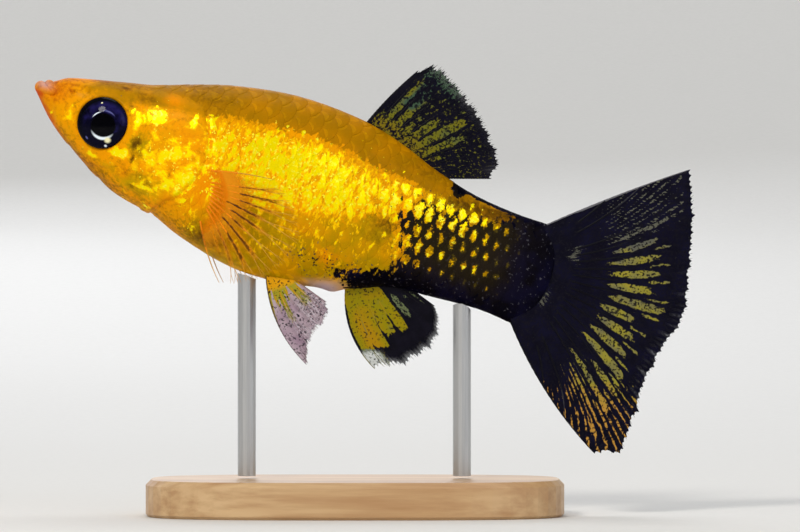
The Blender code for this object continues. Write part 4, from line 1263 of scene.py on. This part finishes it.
def scaleFlecks(tree, given, grain, gleam, black):
    # A gold fleck in the middle of what shows of each scale, dark round it, and the scale's outline
    scaleAt, tone, spots = given["scaleAt"]["Vector"], given["tone"]["Fac"], given["spots"]["Fac"]
    flat = add(tree, "ShaderNodeVectorMath", {
        0: scaleAt, 1: (4.6, 2.6, 0), 2: (-2.4, 0, 0)}, operation="MULTIPLY_ADD")
    away = add(tree, "ShaderNodeVectorMath", {0: flat}, operation="LENGTH").outputs["Value"]
    away = add(tree, "ShaderNodeMath", {0: grain, 1: 3.2, 2: away}, operation="MULTIPLY_ADD")
    away = add(tree, "ShaderNodeMath", {0: spots, 1: -0.8, 2: away}, operation="MULTIPLY_ADD")
    spot = add(tree, "ShaderNodeMapRange", {
        "Value": away, "From Min": 2.1, "From Max": 0.7}, interpolation_type="SMOOTHSTEP")
    kept = add(tree, "ShaderNodeMapRange", {"Value": tone, "To Min": 0.65, "To Max": 1.2})
    sized = add(tree, "ShaderNodeMath", {0: spot, 1: spots}, operation="MULTIPLY")
    sized = add(tree, "ShaderNodeMath", {0: sized, 1: kept}, operation="MULTIPLY")
    black = add(tree, "ShaderNodeMath", {0: black, 1: sized}, operation="SUBTRACT")
    raised = add(tree, "ShaderNodeMapRange", {"Value": spot, "To Min": -0.1, "To Max": 0.14})
    raised = add(tree, "ShaderNodeMath", {0: raised, 1: gleam, 2: gleam}, operation="MULTIPLY_ADD")
    gleam = add(tree, "ShaderNodeMath", {0: sized, 1: 0.34, 2: raised}, operation="MULTIPLY_ADD")
    rim = add(tree, "ShaderNodeVectorMath", {0: scaleAt}, operation="LENGTH").outputs["Value"]
    rim = add(tree, "ShaderNodeMapRange", {"Value": rim, "From Min": 0.8, "From Max": 1.0, "To Max": 0.3})
    outline = add(tree, "ShaderNodeMath", {0: rim, 1: black}, operation="MULTIPLY")
    black = add(tree, "ShaderNodeMath", {0: outline, 1: 0.8, 2: black}, operation="MULTIPLY_ADD")
    halo = add(tree, "ShaderNodeMapRange", {
        "Value": sized, "From Min": 0.05, "From Max": 0.7, "To Max": 0.9})
    zone = add(tree, "ShaderNodeMapRange", {"Value": spots, "From Max": 1.2, "To Max": 0.8})
    halos = [(zone, skinColours["zone"]), (halo, skinColours["halo"])]
    return gleam, black, [(rim, skinColours["scaleEdge"])], halos


def fishFinish(name, coat):
    # Wet fish skin: orange and black pigment under a film of water, with yellow guanine that glitters
    finish, tree, shader = newFinish(name, {
        "IOR": 1.36, "Specular IOR Level": 0.04,
        "Coat Weight": 0.02, "Coat Roughness": 0.15, "Coat IOR": 1.33})
    at = fishCoordinates(tree)
    given = {label: add(tree, "ShaderNodeAttribute", attribute_name=label).outputs for label in (
        "pigment", "lustre", "marks", "scaleAt", "tone", "spots")}
    pigment, lustre, marks = (add(tree, "ShaderNodeSeparateXYZ", {
        0: given[label]["Vector"]}).outputs for label in ("pigment", "lustre", "marks"))
    own, stretch, soft = at, (0.95, 1.1, 1.1), 0.25
    if coat:  # no two scales carry the same flecks
        own = add(tree, "ShaderNodeVectorMath", {
            0: given["tone"]["Fac"], 1: (17, 5, 31), 2: at}, operation="MULTIPLY_ADD")
        stretch, soft = (2.0, 1.2, 0.95), 0.0
    tall = add(tree, "ShaderNodeVectorMath", {0: own, 1: stretch}, operation="MULTIPLY")
    noise = {
        label: add(tree, "ShaderNodeTexNoise", {"Vector": where, **skinNoises[label]})
        for label, where in (("cloud", at), ("grain", own), ("streak", tall), ("fine", at))}
    cloud, grain, streak, fine = noise.values()
    gleamField, blackField, rims, halos = lustre[0], pigment[2], [], []
    if coat:
        gleamField, blackField, rims, halos = scaleFlecks(tree, given, grain, gleamField, blackField)
    fields = {
        "back": pigment[0], "belly": pigment[1], "black": blackField, "orange": marks[0], "umber": marks[1],
        "rosy": lustre[1], "bright": gleamField, "gleam": gleamField, "peak": gleamField}
    mask = {}
    for label, field in fields.items():
        broken, low, high, push = skinEdges[label]
        blur = soft if label == "back" else 0.0
        mask[label] = brokenEdge(tree, field, noise[broken], low - blur, high + blur, push)
    dotted = add(tree, "ShaderNodeMath", {0: marks[2], 1: 0.2, 2: fine}, operation="MULTIPLY_ADD")
    dotted = add(tree, "ShaderNodeMapRange", {"Value": dotted, "From Min": 0.76, "From Max": 0.8})
    black = add(tree, "ShaderNodeMath", {0: mask["black"], 1: dotted}, operation="MAXIMUM")
    warm = add(tree, "ShaderNodeMapRange", {"Value": cloud, "From Min": 0.42, "From Max": 0.62})
    dull = add(tree, "ShaderNodeMapRange", {"Value": grain, "From Min": 0.5, "From Max": 0.66, "To Max": 0.6})
    glints = add(tree, "ShaderNodeMapRange", {"Value": fine, "From Min": 0.64, "From Max": 0.74})
    tint = skinColours
    flank = paintOver(tree, tint["flank"], [(warm, tint["flankWarm"]), (dull, tint["dull"])])
    ridge = paintOver(tree, tint["back"], [(warm, tint["backWarm"])] + rims)
    under = paintOver(tree, tint["belly"], [(warm, tint["bellyWarm"])] + rims)
    night = paintOver(tree, tint["black"], [(warm, tint["blackBlue"]), (glints, tint["glint"])] + halos)
    # The umber and rosy layers also lay the painted shade along the underside of head and jaw
    colour = paintOver(tree, flank, [
        (mask["belly"], under), (mask["bright"], tint["flankBright"]), (mask["back"], ridge),
        (mask["orange"], tint["orange"]), (mask["umber"], tint["umber"]), (mask["rosy"], tint["rosy"]),
        (mask["gleam"], tint["gleam"]), (mask["peak"], tint["gleamPeak"]), (lustre[2], tint["pale"]),
        (black, night)])
    clear = add(tree, "ShaderNodeMath", {0: 1.0, 1: black}, operation="SUBTRACT")
    metal = add(tree, "ShaderNodeMath", {0: mask["gleam"], 1: clear}, operation="MULTIPLY")
    metal = add(tree, "ShaderNodeMath", {0: metal, 1: 0.4}, operation="MULTIPLY")
    rough = add(tree, "ShaderNodeMapRange", {"Value": mask["gleam"], "To Min": 0.52, "To Max": 0.34})
    bumps = add(tree, "ShaderNodeBump", {"Strength": 0.5, "Distance": 0.00005, "Height": streak})
    feed(tree, shader, {"Base Color": colour, "Metallic": metal, "Roughness": rough, "Normal": bumps})
    return finish


finColours = {
    "tail": {
        "dark": "#030213", "darkWarm": "#080722", "windowCool": "#5C5C50", "window": "#908830",
        "windowWarm": "#B88838", "ray": "#04030E", "root": "#07060D", "tip": "#3A3A40",
        "lead": "#77777C", "glint": "#45434C", "specks": 0.95, "speckFrom": 0.53,
    },
    "dorsal": {
        "dark": "#030210", "darkWarm": "#08071A", "windowCool": "#3E5440", "window": "#6C6A18",
        "windowWarm": "#7C6A10", "ray": "#04030C", "root": "#3C3A10", "tip": "#2C322E", "specks": 0.92,
        "speckFrom": 0.52,
    },
    "anal": {
        "dark": "#05040F", "darkWarm": "#0E0C1A", "windowCool": "#66704C", "window": "#8E8204",
        "windowWarm": "#A88006", "ray": "#0A0812", "root": "#9C8404", "tip": "#7C743C", "specks": 0.85,
        "speckFrom": 0.58,
    },
    "pectoral": {
        "dark": "#6A3602", "darkWarm": "#7C4402", "window": "#EE8600", "windowWarm": "#EA9410",
        "ray": "#4E2000", "root": "#EE8A00", "tip": "#C8922C", "specks": 0.0, "speckFrom": 0.7,
    },
    "pelvic": {
        "dark": "#BCA8B4", "darkWarm": "#A48A9E", "window": "#A49A28", "windowWarm": "#E4A40C",
        "mark": "#0A0818", "ray": "#A08890", "root": "#C89410", "tip": "#B8A4B0", "lead": "#3A3028",
        "specks": 0.9, "speckFrom": 0.56,
    },
}


def webFinish(name, colours):
    # Wet fin membrane: thin, smooth and partly clear, with pigment grains that follow the rays
    finish, tree, shader = newFinish(name, {
        "IOR": 1.36, "Specular IOR Level": 0.1, "Roughness": 0.45,
        "Coat Weight": 0.04, "Coat Roughness": 0.25})
    at = fishCoordinates(tree)
    finAt = add(tree, "ShaderNodeAttribute", attribute_name="finAt").outputs["Vector"]
    tone = add(tree, "ShaderNodeAttribute", attribute_name="finTone").outputs["Vector"]
    window, warm, clear = add(tree, "ShaderNodeSeparateXYZ", {0: tone}).outputs
    drawn = add(tree, "ShaderNodeVectorMath", {0: finAt, 1: (3.2, 13.0, 0)}, operation="MULTIPLY")
    grain = add(tree, "ShaderNodeTexNoise", {"Vector": drawn, "Scale": 1.3, "Detail": 4.0, "Roughness": 0.68})
    cloud = add(tree, "ShaderNodeTexNoise", {"Vector": at, "Scale": 0.6, "Detail": 3.0})
    fine = add(tree, "ShaderNodeTexNoise", {"Vector": at, "Scale": 3.8, "Detail": 3.0})
    window = brokenEdge(tree, window, grain, 0.36, 0.5, 2.0)
    broken = brokenEdge(tree, warm, cloud, 0.2, 0.8, 0.5)
    cool = add(tree, "ShaderNodeMapRange", {"Value": broken, "From Min": 0.4, "From Max": 0.05})
    hot = add(tree, "ShaderNodeMapRange", {"Value": broken, "From Min": 0.45})
    marked = brokenEdge(tree, warm, grain, 1.1, 1.3, 0.9)
    blotch = add(tree, "ShaderNodeMapRange", {"Value": cloud, "From Min": 0.4, "From Max": 0.65})
    speck = add(tree, "ShaderNodeMapRange", {
        "Value": fine, "From Min": colours["speckFrom"], "From Max": colours["speckFrom"] + 0.05,
        "To Max": colours["specks"]})
    dark = paintOver(tree, colours["dark"], [(blotch, colours["darkWarm"])])
    if "glint" in colours:  # the body's glints run on over the fin's root
        along = add(tree, "ShaderNodeSeparateXYZ", {0: finAt}).outputs[1]
        rooted = add(tree, "ShaderNodeMapRange", {
            "Value": along, "From Min": 0.2, "From Max": 0.4, "To Min": 0.0, "To Max": -0.2})
        glints = add(tree, "ShaderNodeMath", {0: fine, 1: rooted}, operation="ADD")
        glints = add(tree, "ShaderNodeMapRange", {"Value": glints, "From Min": 0.62, "From Max": 0.7})
        dark = paintOver(tree, dark, [(glints, colours["glint"])])
    light = paintOver(tree, colours["window"], [
        (cool, colours.get("windowCool", colours["window"])), (hot, colours["windowWarm"])])
    colour = paintOver(tree, dark, [
        (window, light), (marked, colours.get("mark", colours["windowWarm"])), (speck, "#0C0A16")])
    solid = add(tree, "ShaderNodeMath", {0: 1.0, 1: clear}, operation="SUBTRACT")
    solid = add(tree, "ShaderNodeMath", {0: solid, 1: speck}, operation="MAXIMUM")
    bumps = add(tree, "ShaderNodeBump", {"Strength": 0.35, "Distance": 0.00005, "Height": grain})
    feed(tree, shader, {"Base Color": colour, "Alpha": solid, "Normal": bumps})
    return finish


def rayFinish(name, colours):
    # Bony fin rays in their skin: jointed and satin, dark but for where they cross the light windows
    finish, tree, shader = newFinish(name, {
        "IOR": 1.45, "Specular IOR Level": 0.12, "Roughness": 0.42,
        "Coat Weight": 0.04, "Coat Roughness": 0.3})
    rayAt = add(tree, "ShaderNodeAttribute", attribute_name="rayAt").outputs["Vector"]
    across, along, dark = add(tree, "ShaderNodeSeparateXYZ", {0: rayAt}).outputs
    drawn = add(tree, "ShaderNodeVectorMath", {0: rayAt, 1: (2, 26, 1)}, operation="MULTIPLY")
    joints = add(tree, "ShaderNodeTexNoise", {"Vector": drawn, "Scale": 1.0, "Detail": 3.0})
    tips = brokenEdge(tree, along, joints, 0.35, 0.6, 0.4)
    dark = brokenEdge(tree, dark, joints, 0.3, 0.6, 0.5)
    first = add(tree, "ShaderNodeMath", {0: across}, operation="ABSOLUTE")
    lead = add(tree, "ShaderNodeMapRange", {"Value": first, "From Min": 0.4, "From Max": 0.1, "To Max": 0.8})
    layers = [(tips, colours["tip"]), (dark, colours["ray"])]
    if "lead" in colours:
        layers.append((lead, colours["lead"]))
    feed(tree, shader, {"Base Color": paintOver(tree, colours["root"], layers)})
    return finish


eyeColours = {
    "pupil": "#010104",
    "iris": "#05041A",
    "irisSheen": "#1E1A50",
    "rim": "#030308",
    # The next three are the colours of the painted highlights, glints and sheen on the iris
    "silver": "#EAF6FF",
    "violet": "#5A5C94",
    "gold": "#F4F0C0",
}
eyeHighlights = [  # painted highlights, glints and sheen on the iris: middle and half width of the angle, radius and half breadth, colour
    (-1.4, 1.0, 1.42, 0.19, "silver"),
    (2.45, 0.4, 1.5, 0.08, "silver"),
    (1.5, 0.5, 1.62, 0.1, "violet"),
    (-0.95, 0.24, 1.66, 0.34, "gold"),
    (-1.15, 0.08, 2.2, 0.14, "silver"),
    (-2.2, 0.1, 2.3, 0.12, "violet"),
    (2.0, 0.05, 2.5, 0.1, "gold"),
]


def eyeFinish():
    # A wet cornea over a dark violet iris, with painted highlights: a silver crescent that edges the pupil
    # below, small arcs and glints, and a painted violet sheen over the iris's top
    finish, tree, shader = newFinish("wetCornea", {
        "IOR": 1.36, "Specular IOR Level": 0.0, "Roughness": 0.3, "Coat Weight": 0.28, "Coat Roughness": 0.04,
        "Coat IOR": 1.3})
    eyeAt = add(tree, "ShaderNodeAttribute", attribute_name="eyeAt").outputs["Vector"]
    flat = add(tree, "ShaderNodeVectorMath", {0: eyeAt, 1: (1, 1, 0), 2: (-0.42, 0.25, 0)},
               operation="MULTIPLY_ADD")
    away = add(tree, "ShaderNodeVectorMath", {0: flat}, operation="LENGTH").outputs["Value"]
    tailwards, upwards, _ = add(tree, "ShaderNodeSeparateXYZ", {0: flat}).outputs
    angle = add(tree, "ShaderNodeMath", {0: upwards, 1: tailwards}, operation="ARCTAN2")
    cloud = add(tree, "ShaderNodeTexNoise", {"Vector": flat, "Scale": 1.1, "Detail": 4.0})
    # Painted sheen: the iris turns lighter and more violet towards its top, broken by a noise
    lit = add(tree, "ShaderNodeMath", {0: upwards, 1: 0.12, 2: cloud}, operation="MULTIPLY_ADD")
    iris = add(tree, "ShaderNodeMapRange", {"Value": away, "From Min": 1.3, "From Max": 1.5})
    rim = add(tree, "ShaderNodeMapRange", {"Value": away, "From Min": 2.3, "From Max": 2.8})
    bright = add(tree, "ShaderNodeMapRange", {"Value": lit, "From Min": 0.48, "From Max": 0.8})
    violet = paintOver(tree, eyeColours["iris"], [(bright, eyeColours["irisSheen"])])
    layers = [(iris, violet), (rim, eyeColours["rim"])]
    # Each painted highlight, glint or patch of sheen lies at an angle and distance round the pupil
    for middle, width, radius, breadth, colour in eyeHighlights:
        both = add(tree, "ShaderNodeCombineXYZ", {0: angle, 1: away})
        near = add(tree, "ShaderNodeVectorMath", {
            0: both, 1: (1 / width, 1 / breadth, 0), 2: (-middle / width, -radius / breadth, 0)},
            operation="MULTIPLY_ADD")
        gap = add(tree, "ShaderNodeVectorMath", {0: near}, operation="LENGTH").outputs["Value"]
        mark = add(tree, "ShaderNodeMapRange", {"Value": gap, "From Min": 1.1, "From Max": 0.5})
        layers.append((mark, eyeColours[colour]))
    feed(tree, shader, {"Base Color": paintOver(tree, eyeColours["pupil"], layers)})
    return finish


standColours = {
    "maple": "#D2B082",
    "mapleBand": "#C0986A",
    "mapleLine": "#AC8052",
    "steel": "#B4B5B7",
    "steelBright": "#CFD0D1",
}


def mapleFinish():
    # Oiled maple: pale, with fine grain along the base and faint pores
    finish, tree, shader = newFinish("oiledMaple", {"IOR": 1.5, "Coat Weight": 0.2, "Coat Roughness": 0.3})
    where = add(tree, "ShaderNodeTexCoord").outputs["Object"]
    thin = add(tree, "ShaderNodeVectorMath", {0: where, 1: (60, 900, 900)}, operation="MULTIPLY")
    wide = add(tree, "ShaderNodeVectorMath", {0: where, 1: (18, 160, 160)}, operation="MULTIPLY")
    grain = add(tree, "ShaderNodeTexNoise", {"Vector": thin, "Scale": 1.0, "Detail": 5.0, "Roughness": 0.6})
    broad = add(tree, "ShaderNodeTexNoise", {"Vector": wide, "Scale": 1.0, "Detail": 2.0, "Distortion": 1.2})
    lines = add(tree, "ShaderNodeMapRange", {
        "Value": grain, "From Min": 0.4, "From Max": 0.68, "To Max": 0.75})
    bands = add(tree, "ShaderNodeMapRange", {"Value": broad, "From Min": 0.4, "From Max": 0.62})
    colour = paintOver(tree, standColours["maple"], [
        (bands, standColours["mapleBand"]), (lines, standColours["mapleLine"])])
    rough = add(tree, "ShaderNodeMapRange", {"Value": grain, "To Min": 0.38, "To Max": 0.55})
    bumps = add(tree, "ShaderNodeBump", {"Strength": 0.25, "Distance": 0.00004, "Height": grain})
    feed(tree, shader, {"Base Color": colour, "Roughness": rough, "Normal": bumps})
    return finish


def steelFinish():
    # Brushed stainless steel rod, the brushing drawn along it about 0.1 mm apart
    finish, tree, shader = newFinish("brushedSteel", {"Metallic": 1.0})
    where = add(tree, "ShaderNodeTexCoord").outputs["Object"]
    drawn = add(tree, "ShaderNodeVectorMath", {0: where, 1: (9000, 9000, 220)}, operation="MULTIPLY")
    brushed = add(tree, "ShaderNodeTexNoise", {"Vector": drawn, "Scale": 1.0, "Detail": 3.0})
    colour = paintOver(tree, standColours["steel"], [(brushed, standColours["steelBright"])])
    rough = add(tree, "ShaderNodeMapRange", {"Value": brushed, "To Min": 0.24, "To Max": 0.42})
    bumps = add(tree, "ShaderNodeBump", {"Strength": 0.15, "Distance": 0.00002, "Height": brushed})
    feed(tree, shader, {"Base Color": colour, "Roughness": rough, "Normal": bumps})
    return finish


# Studio

studio = {
    "floorRadius": 0.3,
    "wallRadius": 2.2,
    "wallHeight": 2.0,
    "around": 96,
    "bends": 16,
    "paper": "#E4E3E0",
    "fibre": "#DEDDDA",
    "air": "#EEF0F4",
    "airStrength": 0.5,
    "sensor": 36.0,
    "nearClip": 0.01,
    "lens": 250.0,
    "frameWidth": 0.088,  # what the photograph spans at the fish, left to right
    "lookAt": (0.00493, 0.0, 0.02739),
    "lights": [  # place, what it is turned to, size, watts, colour
        ((-0.24, -0.5, 0.42), (0.0, 0.0, 0.03), 0.16, 2.3, "#FFFAF2"),
        ((0.5, -0.45, 0.25), (0.0, 0.0, 0.03), 0.4, 0.8, "#F4F7FF"),
        ((0.05, 0.2, 0.65), (0.0, 0.0, 0.03), 0.4, 1.1, "#FFFFFF"),
        ((-0.1, 0.6, 0.3), (0.0, 0.0, 0.03), 0.4, 0.7, "#F4F7FF"),
        ((0.0, 0.9, 1.3), (0.0, 1.9, 0.3), 0.6, 6.0, "#FFFFFF"),
    ],
}


def makeStudio():
    # A round paper sweep: level floor, then a wall that curves up all round
    paper, tree, shader = newFinish("studioPaper", {"Roughness": 0.9})
    where = add(tree, "ShaderNodeTexCoord").outputs["Object"]
    fibre = add(tree, "ShaderNodeTexNoise", {"Vector": where, "Scale": 900.0, "Detail": 2.0})
    feed(tree, shader, {"Base Color": paintOver(tree, studio["paper"], [(fibre, studio["fibre"])])})
    # The paper's outer side is clear, because a low and distant view looks in through the wall
    outer = add(tree, "ShaderNodeNewGeometry").outputs["Backfacing"]
    shown = add(tree, "ShaderNodeMath", {0: 1.0, 1: outer}, operation="SUBTRACT")
    feed(tree, shader, {"Alpha": shown})
    floor, around = studio["floorRadius"], studio["around"]
    curve = studio["wallRadius"] - floor
    profile = [(floor, 0.0)]
    for k in range(1, studio["bends"] + 1):
        angle = math.pi / 2 * k / studio["bends"]
        profile.append((floor + curve * math.sin(angle), curve * (1 - math.cos(angle))))
    profile.append((studio["wallRadius"], studio["wallHeight"]))
    points = [(0.0, 0.0, 0.0)]
    for radius, height in profile:
        for k in range(around):
            turn = 2 * math.pi * k / around
            points.append((radius * math.cos(turn), radius * math.sin(turn), height))
    faces = [(0, 1 + k, 1 + (k + 1) % around) for k in range(around)]
    for ring in range(len(profile) - 1):
        for k in range(around):
            a, b = 1 + ring * around + k, 1 + ring * around + (k + 1) % around
            faces.append((a, a + around, b + around, b))
    mesh = bpy.data.meshes.new("studioSweep")
    mesh.from_pydata(points, [], faces)
    mesh.materials.append(paper)
    mesh.shade_smooth()
    sweep = newObject("studioSweep", mesh)
    sweep.location.z = -0.00002  # just under the base, so that the two faces don't fight
    for k, (spot, aim, size, watts, colour) in enumerate(studio["lights"]):
        data = bpy.data.lights.new("softbox" + str(k), "AREA")
        data.shape = "DISK"
        data.size = size
        data.energy = watts
        data.color = shade(colour)[:3]
        lamp = newObject(data.name, data)
        lamp.location = spot
        lamp.rotation_euler = (Vector(aim) - Vector(spot)).to_track_quat("-Z", "Y").to_euler()
    world = bpy.data.worlds.new("studioAir")
    world.use_nodes = True
    sky = world.node_tree.nodes["Background"]
    feed(world.node_tree, sky, {"Color": studio["air"], "Strength": studio["airStrength"]})
    bpy.context.scene.world = world
    data = bpy.data.cameras.new("camera")
    data.lens = studio["lens"]
    data.sensor_width = studio["sensor"]
    data.clip_start = studio["nearClip"]
    camera = newObject("camera", data)
    distance = studio["frameWidth"] * studio["lens"] / studio["sensor"]
    camera.location = Vector(studio["lookAt"]) - Vector((0, distance, 0))
    camera.rotation_euler = (math.pi / 2, 0, 0)
    bpy.context.scene.camera = camera
    bpy.context.scene.view_settings.view_transform = "Standard"


# Assembly

makeStudio()
print("studio: sweep, lights and camera")

makeSkin(fishFinish("wetSkin", False))
scaleTree, scaleFinish = scaleNetTree(), fishFinish("guanineScale", True)
rayTree, cornea = rayTubeTree(), eyeFinish()
for sideName in sides:
    makeScales(sideName, scaleTree, scaleFinish)
    makeEye(sideName, cornea)

finTones = {
    "tail": tailTone, "dorsal": dorsalTone, "anal": analTone,
    "pectoral": pectoralTone, "pelvic": pelvicTone,
}
for finName, fin in fins.items():
    colours = finColours[finName]
    membrane, bone = webFinish(finName + "Web", colours), rayFinish(finName + "Rays", colours)
    paired = "wave" not in fin
    for sideName, side in (sides.items() if paired else [("", 1)]):
        node = fin["node"] + ("_" + sideName.lower() if paired else "")
        makeWeb(finName + "Web" + sideName, fin, side, membrane, finTones[finName], [node])
        makeRays(finName + "Rays" + sideName, fin, side, bone, rayTree, finTones[finName])

maple, steel = mapleFinish(), steelFinish()
for node, finish in (("stand_base", maple), ("stand_rod_front", steel), ("stand_rod_rear", steel)):
    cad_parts[node].material_slots[0].material = finish
print("stand: oiled maple and brushed steel")
